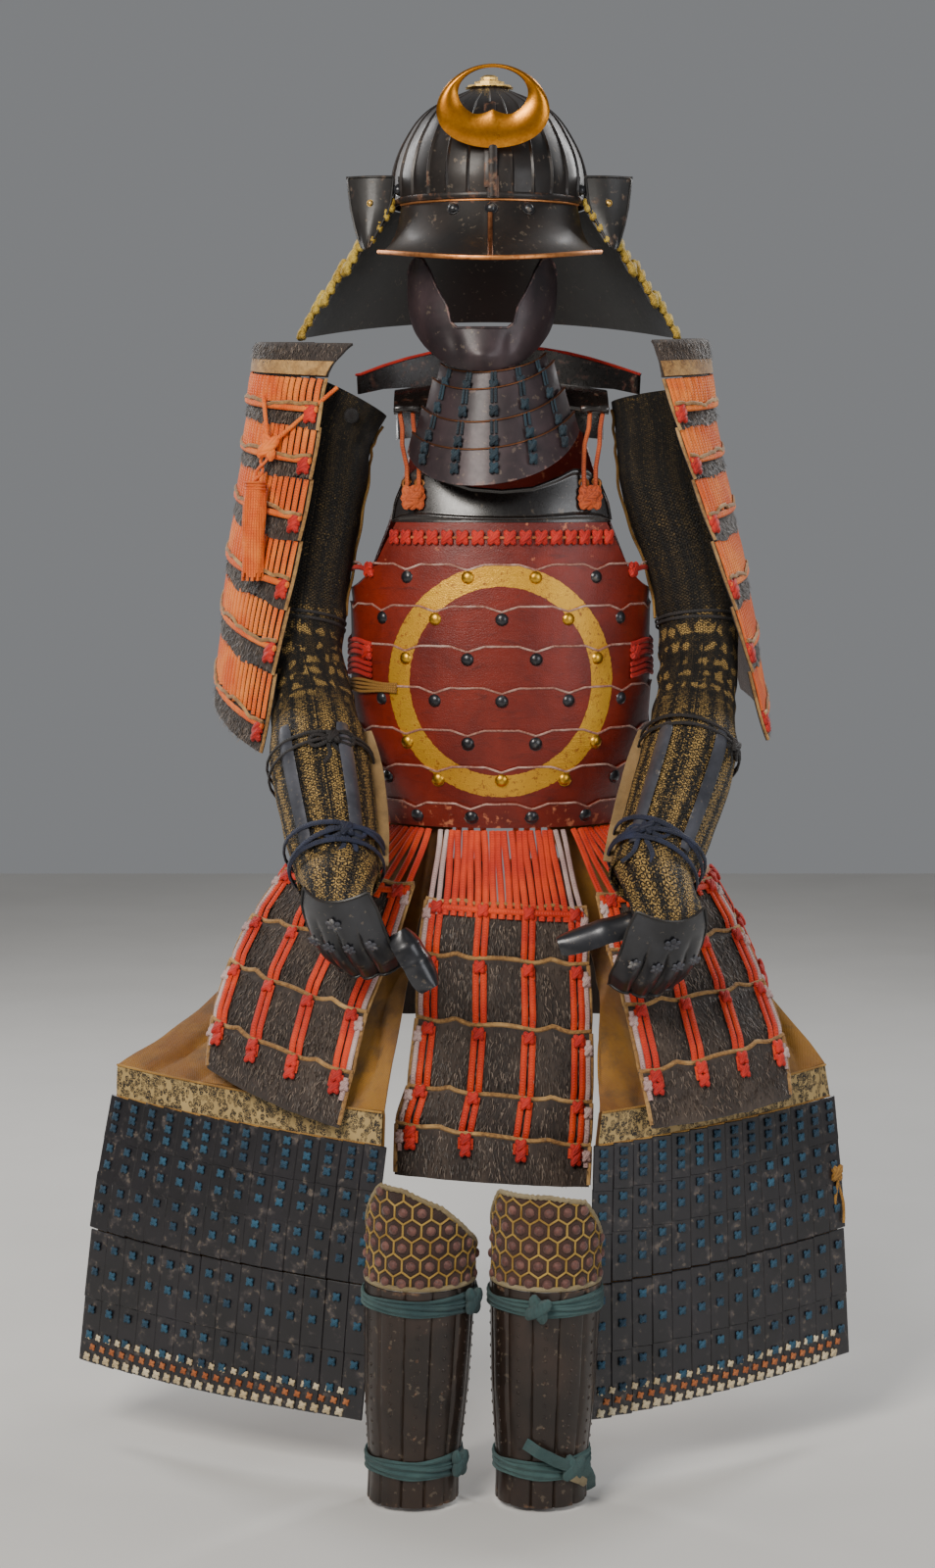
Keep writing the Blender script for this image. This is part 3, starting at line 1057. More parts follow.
def neck_at(i, degrees, share, lift=0.0):
    top, low, wide_top, wide_low, deep_top, deep_low, start = NECK_LAMES[i]
    back = max(0.0, -math.cos(math.radians(degrees)))
    fall = (1348 - lerp(low, top, share)) / 140
    z = lerp(low, top, share) + 27 * fall * back**1.5
    return on_oval(HELMET["x"], HELMET["y"], lerp(wide_low, wide_top, share) + lift, lerp(deep_low, deep_top, share) + lift, degrees, z)


laces, knots = [], []
for i in range(1, 4):
    start = NECK_LAMES[i][6] + 1.5
    count = round((360 - 2 * start) * 3.1 * NECK_LAMES[i][3] / 180 / 21)
    for degrees in steps(count, start, 360 - start):
        for pair in (-0.55, 0.55):
            path = [neck_at(i, degrees + pair, s, 2.3) for s in (0.97, 0.75, 0.5, 0.3)]
            laces.append((path, away_from((-1, -5), path[0]) + Vector((0, 0, 0.6))))
        spot = neck_at(i, degrees, 0.3, 3.6)
        knots.append((spot, away_from((-1, -5), spot) + Vector((0, 0, 0.6)), (0, 0, 1), 1))
own(braids("neck_lacing", laces, 3.4, 1.8), "neck_lacing", "ochre_cloth", yellow_silk)
knot = cross_knot(9, 7, 3.6)
own(spread(knot, knots), "neck_knots", "ochre_cloth", yellow_silk, smooth=80)
shed(knot)
knot = cross_knot(13, 11, 7)
ends = []
for i in range(4):
    lame = formed("lame", 96, 6, lambda a, b, i=i: neck_at(i, lerp(NECK_LAMES[i][6], 360 - NECK_LAMES[i][6], a), b), (0.6, 0.04), (-1, -5, 1290), 2)
    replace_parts(own(lame, f"neck_iron_{i + 1}", "black_iron", lame_iron, smooth=50), f"neck_lame_{i + 1}")
    for side in (-1, 1):
        for share in (0.08, 0.4, 0.72, 0.97):
            for k in range(2):
                spot = neck_at(i, side * (NECK_LAMES[i][6] + 1.6 + 4.2 * k), share, 3.5)
                ends.append((spot, away_from((-1, -5), spot) + Vector((0, -0.3, 0.4)), (0.4 * side, 0, 1), 1))
own(spread(knot, ends), "neck_end_knots", "ochre_cloth", yellow_silk, smooth=80)
shed(knot)

# A red edge is sewn along the top of the standing collar, along the solid's highest points
high = {}
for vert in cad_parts["collar"].data.vertices:
    at = round(vert.co.x / 0.014)
    if at not in high or vert.co.z > high[at].z:
        high[at] = vert.co
edge = [Vector((high[at].x * 1000, high[at].y * 1000, high[at].z * 1000 + SHOULDER + 0.6)) for at in sorted(high)]
own(braids("edge", [(edge, (0, -0.3, 1))], 5.4, 3.4), "collar_edge", "orange_silk", red_silk)
print("neck guard:", len(laces), "strands,", len(knots), "knots")

# %% [markdown]
# The cuirass needs its barrel again, because its rivets, knots and side lacing sit on it. The
# rivets are dark, and gilded where the painted ring passes over them. A row of red knots joins the
# breast plate to the yoke.

# %% Cuirass rivets and knots
TRUNK_X = 12
BARREL = [
    (672, 144, 121), (700, 152, 127), (740, 162, 133), (800, 167, 137), (870, 167, 136),
    (940, 165, 130), (1004, 163, 122), (1062, 158, 108), (1130, 150, 96),
]
SEAMS = [696, 737, 777, 823, 868, 911, 956]


def barrel_at(degrees, z, lift=0.0):
    return on_oval(TRUNK_X, 0, read(BARREL, 1, z) + lift, read(BARREL, 2, z) + lift, degrees, z)


def barrel_out(spot):
    return Vector((spot.x - TRUNK_X, spot.y * 1.4, 0)).normalized()


def in_ring(spot):
    far = math.hypot(spot.x - RING["x"], (spot.z - RING["z"]) / RING["tall"])
    return RING["inner"] - 3 < far < RING["outer"] + 3


# The plates' top edges are scalloped and rubbed pale, which draws a wavy line across the breast
SIDE_SEAM = 89.6


def scallop(degrees, row):
    place = ((degrees + SIDE_SEAM) / (2 * SIDE_SEAM) * 28 + 2 * (row % 2)) % 4
    return 3 - 6 * bump(min(place, 4 - place), 1)


lines = []
for row, z in enumerate(SEAMS):
    path = [barrel_at(d, z + scallop(d, row) + 0.5 * noise.noise(Vector((d / 6, row, 0))), 2.3) for d in steps(168, -88, 88)]
    lines.append((path, [barrel_out(p) for p in path]))
own(braids("edges", lines, 2.4, 1.6), "worn_plate_edges", "red_leather", worn_leather)
pitch = 2 * SIDE_SEAM * 4 / 28
dark_rivets, gold_rivets = [], []
for row, z in enumerate(SEAMS):
    degrees = -SIDE_SEAM - pitch / 2 * (row % 2)
    while degrees < 54:
        if abs(degrees) < 54:
            spot = barrel_at(degrees, z - 11, 0.6)
            place = (spot, barrel_out(spot), (0, 0, 1), 1)
            (gold_rivets if in_ring(spot) else dark_rivets).append(place)
        degrees += pitch
dome = domed_rivet(7.6, 4.6, 0.1)
own(spread(dome, dark_rivets), "breast_rivets", "black_iron", plate_iron)
own(spread(dome, gold_rivets), "gilded_breast_rivets", "gilt_copper", gilt_dome)
shed(dome)
row = [barrel_at(d, 988, 1.6) for d in steps(15, -45, 45)]
knot = cross_knot(12.6, 11, 4.4)
own(spread(knot, [(spot, barrel_out(spot), (0, 0, 1), 1) for spot in row]), "breast_knots", "orange_silk", red_silk, smooth=80)
shed(knot)
thread = [barrel_at(d, 988, 0.9) for d in steps(30, -47, 47)]
own(braids("breast_thread", [(thread, [barrel_out(p) for p in thread])], 3.4, 2), "breast_thread", "orange_silk", rust_silk)
YOKE_TOP = [(0, 1040), (12, 1043), (22, 1053), (29, 1062), (36, 1062), (42, 1050), (45.5, 1028), (46.5, 1007)]


def yoke_at(a, b):
    degrees = lerp(-46.5, 46.5, a)
    z = lerp(1004.4, read_straight(YOKE_TOP, 1, abs(degrees)), b)
    relief = 2.4 * bump(b - 0.96, 0.07) ** 0.5 + 1.8 * bump(b - 0.12, 0.05) ** 0.5 + 0.5 * math.sin(math.pi * b)
    return barrel_at(degrees, z, relief)


yoke = formed("yoke", 110, 48, yoke_at, (0.27, 0.06), (TRUNK_X, 0, 1030), 2)
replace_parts(own(yoke, "lacquered_yoke", "black_lacquer", strap_lacquer, smooth=50), "chest_yoke")
print("rivets:", len(dark_rivets), "dark,", len(gold_rivets), "gilded; knots:", len(row))

# %% [markdown]
# The cuirass opens at its side and is tied shut there with red cord, wound over the seam in two
# places, and a flat ochre cord is hitched through the right side. All three pass over the leather
# within a few millimetres.

# %% Side cords
wound = []
for side in (-1, 1):
    for z, count in ((872, 3), (850, 3), (952, 1)):
        for k in range(count):
            path = [barrel_at(side * d, z - 6.4 * k + 2 * math.sin(d / 5), 3.2) for d in steps(12, 57, 104)]
            wound.append((path, [barrel_out(p) for p in path]))
own(braids("side_cords", wound, 5.6, 3.2), "side_cords", "orange_silk", red_silk)
hitch = []
for k in range(4):
    path = [barrel_at(-d, 829 - 3.4 * k + (k - 1.5) * math.sin(d / 6), 3 + 0.4 * k) for d in steps(14, 42, 92)]
    hitch.append((path, [barrel_out(p) for p in path]))
own(braids("ochre_side_cord", hitch, 3.6, 2.4), "ochre_side_cord", "ochre_cloth", ochre_silk)
knot = cross_knot(14, 11, 6)
own(spread(knot, [(barrel_at(s * 60, z, 3), barrel_out(barrel_at(s * 60, z)), (0, 0, 1), 1) for s in (-1, 1) for z in (952, 861)]),
    "side_knots", "orange_silk", red_silk)
shed(knot)
print("side cords:", len(wound), "turns of red,", len(hitch), "of ochre")

# %% [markdown]
# Cord pairs tie the shoulder straps to two holes in the yoke. The solid there is only a stand-in, so
# two strands, a big knot and the toggle are made instead, on the same route, with a ring of
# brass round each hole.

# %% Strap cords
STRAP_CORD = {"x": 96, "top": (-66, 1122), "wide": 7}


def off_barrel(x, z, away):
    share = (x - TRUNK_X) / read(BARREL, 1, z)
    return Vector((x, -(read(BARREL, 2, z) * math.sqrt(1 - share * share) + away), z))


def spun(name, profile, segments=12):
    """A turned piece: an outline of (radius, height) pairs spun about the upright axis."""
    deselect()
    bpy.ops.mesh.primitive_plane_add(size=0.001)
    piece = bpy.context.object
    piece.name = piece.data.name = name
    piece.data.clear_geometry()
    piece.data.from_pydata([(r / 1000, 0, h / 1000) for r, h in profile], [(i, i + 1) for i in range(len(profile) - 1)], [])
    bpy.ops.object.mode_set(mode="EDIT")
    bpy.ops.mesh.select_all(action="SELECT")
    bpy.ops.mesh.spin(steps=segments, angle=2 * math.pi, center=(0, 0, 0), axis=(0, 0, 1))
    bpy.ops.mesh.select_all(action="SELECT")
    bpy.ops.mesh.remove_doubles(threshold=0.00002)
    bpy.ops.mesh.normals_make_consistent(inside=False)
    bpy.ops.object.mode_set(mode="OBJECT")
    return piece


for name, sign in (("right", -1), ("left", 1)):
    x = TRUNK_X + sign * STRAP_CORD["x"]
    strands = []
    for k, shift in enumerate((-7, 7)):
        top = Vector((x + sign * 8 + shift, -67, 1124))
        middle = off_barrel(x + shift * 1.1, 1064, 7.5)
        low = off_barrel(x + shift * 0.9, 1038, 7.5)
        start = Vector((top.x, top.y + 22, top.z + 7))
        path = [start, top] + [top.lerp(middle, t) + Vector((2 * math.sin(9 * t + k), 0, 0)) for t in (0.3, 0.6, 1)] + [low]
        strands.append((path, (0, -1, 0.4)))
    lump = cross_knot(23, 18, 6.5, cuts=2)
    tie = off_barrel(x, 1031, 9)
    knots = [(tie, (0, -1, 0.15), (0, 0, 1), 1), (tie + Vector((0, 0.5, 0)), (0, -1, 0.15), (1, 0, 1), 0.86), (tie + Vector((1, -4, 1)), (0, -1, 0), (0.35, 0, 1), 0.6)]
    piece = join([braids("cords", strands, 5.0, 4.2), spread(lump, knots)])
    shed(lump)
    own(piece, f"strap_ties_{name}", "orange_silk", tie_silk)
    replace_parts(piece, f"strap_cord_{name}")
    eye = spun("eye", [(2.6, 0), (3.4, 1.6), (5.4, 1.8), (6.6, 0)], 12)
    eyes = [(off_barrel(x + s, 1046, 1.0), (0, -1, 0), (1, 0, 0), 1) for s in (-7, 7)]
    for vert in eye.data.vertices:
        vert.co = (vert.co.x, -vert.co.z, vert.co.y)
    own(spread(eye, eyes), f"cord_eyes_{name}", "gilt_copper", rim_copper)
    shed(eye)
    toggle = spun("toggle", [(0.01, -16), (3.6, -15), (5.4, -11), (4.2, -5), (3.4, 0), (4.2, 5), (5.4, 11), (3.6, 15), (0.01, 16)], 10)
    own(spread(toggle, [(Vector((x + sign * 6, -70, 1127)), (0, -1, 0.5), (1, 0, 0), 1)]), f"toggle_{name}", "black_iron", strap_lacquer)
    shed(toggle)
print("strap cords: 2 strands, a knot, 2 eyes and a toggle on each side")

# %% [markdown]
# The tassets are the suit's richest pieces: fur-covered lames with wavy tan edges, hung from one
# another by pairs of orange braid, dark and open between. Each lame is formed as a thin sheet on the
# measured surface, its top edge rising in two cusps. The table is the solids' own: the two ends of
# each lame's top edge from the top lame down, and the hem last.

# %% Tasset rows
TASSETS = {
    "front": (12, (-28, 28, 20), [((-70, -150, 600), (104, -150, 590)), ((-78, -168, 545), (106, -168, 532)), ((-80, -184, 477), (109, -184, 461)), ((-89, -200, 405), (109, -200, 386)), ((-102, -214, 368), (107, -214, 342)), ((-103, -226, 312), (105, -226, 298))]),
    "front_right": (14, (-70, -34, 12), [((-226, -76, 622), (-82, -162, 618)), ((-262, -98, 574), (-102, -182, 555)), ((-284, -128, 530), (-132, -216, 488)), ((-301, -172, 474), (-146, -258, 430)), ((-304, -208, 424), (-160, -286, 376))]),
    "front_left": (14, (34, 70, 12), [((114, -162, 606), (244, -76, 612)), ((126, -184, 549), (274, -98, 562)), ((142, -218, 496), (298, -130, 508)), ((156, -260, 432), (316, -178, 456)), ((168, -288, 376), (322, -210, 392))]),
    "side_right": (10, (-106, -76, 8), [((-214, 84, 612), (-218, -26, 612)), ((-244, 94, 560), (-252, -28, 560)), ((-266, 102, 508), (-278, -29, 508)), ((-282, 108, 450), (-298, -30, 450))]),
    "side_left": (10, (76, 106, 8), [((240, -26, 610), (238, 84, 610)), ((272, -28, 558), (266, 94, 558)), ((298, -29, 506), (286, 102, 506)), ((316, -30, 448), (302, 108, 448))]),
    "back_right": (-12, (-116, -172, 12), [((-182, 130, 604), (0, 160, 600)), ((-192, 142, 544), (2, 170, 540)), ((-202, 152, 484), (2, 180, 480)), ((-210, 162, 414), (2, 190, 410))]),
    "back_left": (-12, (172, 116, 12), [((24, 160, 600), (206, 130, 604)), ((22, 170, 540), (216, 142, 544)), ((22, 180, 480), (226, 152, 484)), ((22, 190, 410), (234, 162, 414))]),
}
LAME_SHARE = 1.07
CORD_PLACES = (-0.84, -0.28, 0.28, 0.84)


def hung(rows, bow):
    """The surface through a table of rows: u from -1 to 1 across, v one for each row."""
    def at(u, v):
        k = min(len(rows) - 2, max(0, int(v)))
        low = Vector(rows[k][0]).lerp(Vector(rows[k + 1][0]), v - k)
        high = Vector(rows[k][1]).lerp(Vector(rows[k + 1][1]), v - k)
        across = high - low
        out = Vector((across.y, -across.x, 0)).normalized()
        if out.y > 0.2:
            out.negate()
        return low.lerp(high, (u + 1) / 2) + out * bow * (1 - u * u)

    return at


def facing_of(surface, u, v, inside):
    across = surface(u + 0.01, v) - surface(u - 0.01, v)
    down = surface(u, v + 0.01) - surface(u, v - 0.01)
    out = across.cross(down).normalized()
    if out.dot(surface(u, v) - Vector(inside)) < 0:
        out.negate()
    return out


print("tassets:", len(TASSETS), "with", sum(len(rows) - 1 for _, _, rows in TASSETS.values()), "lames")

# %% [markdown]
# Hair is laid as thin three-sided spikes in two bends, rooted on the lame and combed downwards, with a
# fixed seed so that it comes out the same each time. Their coordinates store a random shade and how far
# along the hair a point is, and the hair's material reads both.

# %% Combed hair
random.seed(11)


def combed_hair(name, seeds):
    """Hairs in one mesh. A seed is (root, out, down, length)."""
    verts, faces, look = [], [], []
    for root, out, down, length in seeds:
        down = (down + Vector((random.gauss(0, 0.25), random.gauss(0, 0.25), random.gauss(0, 0.1)))).normalized()
        side = down.cross(out).normalized() * random.uniform(0.35, 0.6)
        shade, lift = random.random(), random.uniform(0.9, 1.6)
        middle = root + down * length * 0.5 + out * lift
        tip = root + down * length + out * lift * random.uniform(0.5, 1.5)
        start = len(verts)
        for spot, along in ((root - side, 0), (root + side, 0), (middle - side * 0.8, 0.5), (middle + side * 0.8, 0.5), (tip, 1)):
            verts.append(point(*spot))
            look.append((shade, along))
        faces += [(start, start + 1, start + 3, start + 2), (start + 2, start + 3, start + 4)]
    mesh = bpy.data.meshes.new(name)
    mesh.from_pydata(verts, [], faces)
    lay = mesh.uv_layers.new(name="UVMap")
    for face in mesh.polygons:
        for corner, vert in zip(face.loop_indices, face.vertices):
            lay.data[corner].uv = look[vert]
    piece = bpy.data.objects.new(name, mesh)
    bpy.context.collection.objects.link(piece)
    return piece


def edge_rise(u, cusped, seed=0):
    """How far a lame's top edge rises above its row: two cusps with arches between, a little uneven."""
    cusp = min(abs(u + 0.56), abs(u - 0.56))
    wave = 0.1 * bump(cusp, 0.24) ** 1.6 + 0.03 * math.cos(u * 5.6) - 0.04 if cusped else -0.01
    return wave + 0.012 * noise.noise(Vector((u * 3, seed, 0.5)))


# %% [markdown]
# One function builds a tasset: lames, tan edges, cords, knots and hair, joined by finish so that
# each kind of piece stays its own. The lowest lame has knots stacked in pairs.

# %% Build the tassets
hair_count = 0
for name, (bow, (start, end, strands), rows) in TASSETS.items():
    count = len(rows) - 1
    surface = hung(rows, bow)
    inside = (TRUNK_X, 0 if "side" in name else (-60 if "back" in name else 90), 500)
    width = (Vector(rows[1][1]) - Vector(rows[1][0])).length
    lames, edges, cords, pale, hangers, knots, pale_knots, hair_seeds = [], [], [], [], [], [], [], []
    for row in range(count):
        foot = row + (LAME_SHARE if row + 1 < count else 1)
        cusped = name.startswith("front")

        def lame_at(a, b, row=row, foot=foot, cusped=cusped):
            u = 2 * a - 1
            v = lerp(foot, row - edge_rise(u, cusped, row), b) + (0.02 * noise.noise(Vector((u * 5, row, 3))) if b < 0.01 else 0)
            v = max(0.0, v)
            swell = 1.2 * math.sin(math.pi * b) + 0.8 * noise.noise(Vector((u * 2.2, v * 2, 7)))
            if row + 1 < count:
                swell -= 5.2 * max(0.0, 1 - b / 0.3) ** 1.4
            return surface(u, v) + facing_of(surface, u, v, inside) * (swell - 0.4)

        tall = (surface(0, row) - surface(0, foot)).length
        lames.append(formed("lame", 28, 6, lame_at, (width / 1000, tall / 1000), inside, 3.0))
        top = [lame_at(a, 1.0) for a in steps(44, 0.0, 1.0)]
        out = [facing_of(surface, 2 * a - 1, max(0.02, row), inside) for a in steps(44, 0.0, 1.0)]
        edges.append(([p + o * 0.2 for p, o in zip(top, out)], out))
        for side in (0.004, 0.996):
            path = [lame_at(side, b) for b in steps(5, 0.05, 0.97)]
            edges.append((path, facing_of(surface, 0, row + 0.5, inside)))
        for _ in range(int(tall * width / 13)):
            a, b = random.uniform(0.01, 0.99), random.uniform(0.12, 0.93)
            u, v = 2 * a - 1, lerp(foot, row, b)
            out = facing_of(surface, u, v, inside)
            down = (surface(u, min(count, v + 0.05)) - surface(u, v)).normalized()
            hair_seeds.append((lame_at(a, b) + out * 0.1, out, down, random.uniform(5, 9.5)))
        for c in CORD_PLACES:
            for pair in (-0.045, 0.045):
                u = c + pair
                out = facing_of(surface, u, row + 0.5, inside)
                low = row + 1.03 if row + 1 < count else row + 0.36
                path = [surface(u, v) + out * (3.2 - (4.4 * max(0.0, (v - row - 0.86) / 0.17) if row + 1 < count else 0)) for v in steps(9, row + 0.13, low)]
                cords.append((path, out))
            out = facing_of(surface, c, row + 0.3, inside)
            knots.append((surface(c, row + 0.17) + out * 4.6, out, (0, 0, 1), 1))
            if row + 1 == count:
                knots.append((surface(c, row + 0.38) + out * 4.6, out, (0, 0, 1), 1))
        for c in (-0.95, 0.95):
            out = facing_of(surface, c, row + 0.5, inside)
            pale.append(([surface(c, v) + out * (2.8 - 4 * max(0.0, (v - row - 0.86) / 0.17)) for v in steps(8, row + 0.15, min(count - 0.45, row + 1.02))], out))
            pale_knots.append((surface(c, row + 0.3) + out * 3.8, out, (0, 0, 1), 0.8))
    hem = Vector((TRUNK_X, 0, 669.6))
    for k in range(strands):
        t = k / (strands - 1)
        degrees = lerp(start, end, t)
        high = barrel_at(degrees, 672) + (hem - barrel_at(degrees, 672)) * 0.015
        high.z = 668.5
        u = lerp(-0.93, 0.93, t)
        out = facing_of(surface, u, 0.2, inside)
        low = surface(u, 0.14) + out * 2.6
        way = (low - high).length
        path = [high.lerp(low, s) + Vector((1.2 * math.sin(5 * s + k * 1.7), 0, 0)) * (1 - s) - out * 1.5 * math.sin(math.pi * s) for s in steps(7)]
        path.append(surface(u, 0.3) + out * 2.6)
        (pale if k in (0, 1, strands - 2, strands - 1) and name == "front" else hangers).append((path, out))
    band = [surface(u, 0.16) + facing_of(surface, u, 0.16, inside) * 4.0 for u in steps(24, -0.94, 0.94)]
    band_out = [facing_of(surface, u, 0.16, inside) for u in steps(24, -0.94, 0.94)]
    cords.append((band, band_out))
    body = own(join(lames), f"lames_{name}", "fur_brown", fur_skin)
    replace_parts(body, f"tasset_{name}")
    own(braids("edges", edges, 5.0, 3.6), f"lame_edges_{name}", "fur_brown", tan_edge)
    own(braids("cords", cords, 6.8, 2.6), f"lame_cords_{name}", "orange_silk", orange_silk)
    own(braids("hangers", hangers, 7.1, 3.6), f"hanging_cords_{name}", "orange_silk", orange_silk)
    own(braids("pale", pale, 5.6, 2.4), f"pale_cords_{name}", "orange_silk", pale_silk)
    knot = cross_knot(11.5, 10, 4.6, cuts=2)
    own(spread(knot, knots), f"lame_knots_{name}", "orange_silk", red_silk, smooth=80)
    own(spread(knot, pale_knots), f"pale_knots_{name}", "orange_silk", pale_silk, smooth=80)
    shed(knot)
    own(combed_hair("hair", hair_seeds), f"lame_hair_{name}", "fur_brown", brown_hair, smooth=0)
    hair_count += len(hair_seeds)
print("hairs:", hair_count)

# %% [markdown]
# The bowl and visor are what a viewer looks at first, and their solids have few faces. So both are
# formed again on the same surfaces with a fine grid: 28 plates whose rims stand up as ribs, and a
# visor that hangs in a shallow hollow with a ridge down its middle.

# %% Fine bowl and visor
def bowl_skin(a, b):
    up = 128 * b * (1.65 - 0.65 * b) - 2 * (1 - b)
    inside = (a * BOWL_PLATES) % 1
    near = min(inside, 1 - inside)
    rib = 2.0 * max(0.0, 1 - near / 0.08)
    rib += 0.5 * noise.noise(Vector((a * 40, b * 6, 2)))
    fade = min(1, b * 30) * min(1, (128 - up) / 12)
    return bowl_at(a, max(-2, min(128, up)), rib * fade)


bowl = formed("bowl", BOWL_PLATES * 12, 26, bowl_skin, (0.72, 0.2), (-1, -5, 1350), 1.6, seam=True)
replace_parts(own(bowl, "ribbed_bowl", "black_iron", bowl_iron, smooth=28), "helmet_bowl")


def visor_skin(a, b):
    degrees = lerp(-64, 64, a)
    ridge = 2.4 * max(0.0, 1 - abs(degrees) / 2.6) if b < 0.92 else 0
    return visor_at(degrees, b, ridge)


visor = formed("visor", 90, 16, visor_skin, (0.3, 0.09), (-1, -5, 1270), 2)
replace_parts(own(visor, "curved_visor", "black_iron", bowl_iron, smooth=40), "helmet_visor")
front_strip = [bowl_at(0.0, u, 2.6) for u in steps(12, 10, 104)]
own(braids("bowl_front_strip", [(front_strip, [away_from((-1, 40), p) for p in front_strip])], 13, 2.4, 8), "bowl_front_strip", "black_iron", bowl_iron)
print("bowl:", len(bowl.data.polygons), "faces; visor:", len(visor.data.polygons))

# %% [markdown]
# The sleeves are cloth covered with fine mail, bent at the elbow. Cloth there buckles across the
# bend, so rings of creases run round the arm, deepest inside the elbow, and the rest of the sleeve has
# small uneven folds. The station table gives the middle of the arm and the sleeve's size.

# %% Sleeve surface
ARM = {
    "right": [(0, -158, 0, 1142, 46), (1, -180, -4, 1098, 48), (2, -188, -8, 1040, 48), (3, -202, -22, 950, 46), (4, -208, -42, 866, 43), (5, -196, -70, 806, 43), (6, -187, -116, 752, 52), (7, -173, -176, 688, 50), (8, -160, -236, 628, 42)],
    "left": [(0, 182, 0, 1142, 45), (1, 188, -4, 1098, 46), (2, 194, -8, 1040, 46), (3, 221, -22, 950, 43), (4, 232, -42, 866, 42), (5, 226, -70, 806, 42), (6, 216, -116, 752, 50), (7, 192, -176, 688, 48), (8, 166, -238, 628, 42)],
}


def sleeve_middle(side, v):
    return Vector([read(ARM[side], c, v) for c in (1, 2, 3)])


def sleeve_at(side, turns, v, lift=0.0):
    ahead = (sleeve_middle(side, min(8, v + 0.05)) - sleeve_middle(side, max(0, v - 0.05))).normalized()
    across = (Vector((1, 0, 0)) - ahead * ahead.x).normalized()
    front = across.cross(ahead).normalized()
    a = 2 * math.pi * turns
    size = read(ARM[side], 4, v) + lift
    return sleeve_middle(side, v) + across * size * math.sin(a) - front * 1.06 * size * math.cos(a)


def sleeve_out(side, turns, v):
    return (sleeve_at(side, turns, v) - sleeve_middle(side, v)).normalized()


def sleeve_creases(turns, v):
    a = 2 * math.pi * turns
    fold = 0.0
    for at, deep in ((2.6, 1.5), (3.4, 3), (3.85, 2.4), (4.25, 3.2), (4.7, 3.2), (5.15, 2.6), (5.6, 2)):
        run = v + 0.12 * math.sin(a + at * 5) + 0.08 * math.sin(2 * a - at * 3)
        fold = max(fold, deep * math.exp(-(((run - at) / 0.11) ** 2)) * (0.55 + 0.45 * math.sin(a * 1.0 + at * 2.2)))
    small = 1.6 * noise.noise(Vector((math.sin(a) * 1.4, math.cos(a) * 1.4, v * 2.4)))
    return fold + small - 0.8


for side in ("right", "left"):
    def sleeve_skin(a, b, side=side):
        v = 8 * b
        hem = min(1.0, min(b, 1 - b) * 25)
        return sleeve_at(side, a, v, sleeve_creases(a, v) * hem)

    sleeve = formed("sleeve", 56, 130, sleeve_skin, (0.29, 0.72), None, 2.2, seam=True)
    take(sleeve)
    bpy.ops.object.mode_set(mode="EDIT")
    bpy.ops.mesh.select_all(action="SELECT")
    bpy.ops.mesh.normals_make_consistent(inside=False)
    bpy.ops.object.mode_set(mode="OBJECT")
    own(sleeve, f"mail_sleeve_{side}", "mail_cloth", sleeve_mail)
    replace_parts(sleeve, f"sleeve_{side}")
    print("sleeve", side, len(sleeve.data.polygons), "faces")

# Two iron splints are sewn on each forearm: rounded bars that follow the sleeve
for side, sign in (("right", -1), ("left", 1)):
    for name, at, start, end in (("outer", 0.11, 5.9, 7.75), ("inner", -0.08, 6.0, 7.85)):
        def bar(a, b, side=side, sign=sign, at=at, start=start, end=end):
            w = 2 * a - 1
            edge = min(1, min(b, 1 - b) * 14)
            return sleeve_at(side, sign * at + 0.024 * w * (0.75 + 0.25 * edge), lerp(start, end, b), 4.4 + 1.6 * (1 - w * w))

        splint = formed("bar", 10, 40, bar, (0.016, 0.14), tuple(sleeve_middle(side, 6.8)), 2)
        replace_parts(own(splint, f"sleeve_splint_{name}_{side}", "black_iron", splint_iron, smooth=50), f"splint_{name}_{side}")

# %% [markdown]
# Cords and ties hold the sleeves to the arm: a thin black one above the elbow, a black bow on the
# right forearm, a tie with a loop on the left one, and navy ties at both wrists. Each turn is a braid
# laid round the sleeve's own surface, so it touches the cloth on all sides.

# %% Sleeve ties
def turn_round(side, v, lift, drift=0.1, start=0.0, turns=1.0, count=28):
    path, out = [], []
    for t in steps(count, start, start + turns):
        path.append(sleeve_at(side, t, min(7.97, v + drift * math.sin(2 * math.pi * t)), lift))
        out.append(sleeve_out(side, t, v))
    return path, out


def bow(name, side, turns, v, loop, tail, finish, slot, wide=5, thick=3):
    """Two loops, two tails and a knot, lying on the sleeve."""
    out = sleeve_out(side, turns, v)
    down = (sleeve_middle(side, min(8, v + 0.1)) - sleeve_middle(side, v - 0.1)).normalized()
    across = down.cross(out).normalized()
    heart = sleeve_at(side, turns, v, 5)
    runs = []
    for s in (-1, 1):
        ring = [heart + across * s * loop * math.sin(math.pi * t) * 0.95 + down * loop * 0.32 * math.sin(2 * math.pi * t)
                - out * 6 * math.sin(math.pi * t) ** 2 + down * loop * 0.12 * s * t for t in steps(14)]
        runs.append((ring, out))
        end = [heart + across * s * (tail * 0.35 * t) + down * tail * t - out * (5 * math.sin(math.pi * t / 2)) + across * 2.5 * math.sin(7 * t) for t in steps(8)]
        runs.append((end, out))
    lump = cross_knot(13, 11, 6)
    piece = join([braids("bow", runs, wide, thick), spread(lump, [(heart + out * 1.5, out, -down, 1)])])
    shed(lump)
    return own(piece, name, slot, finish)


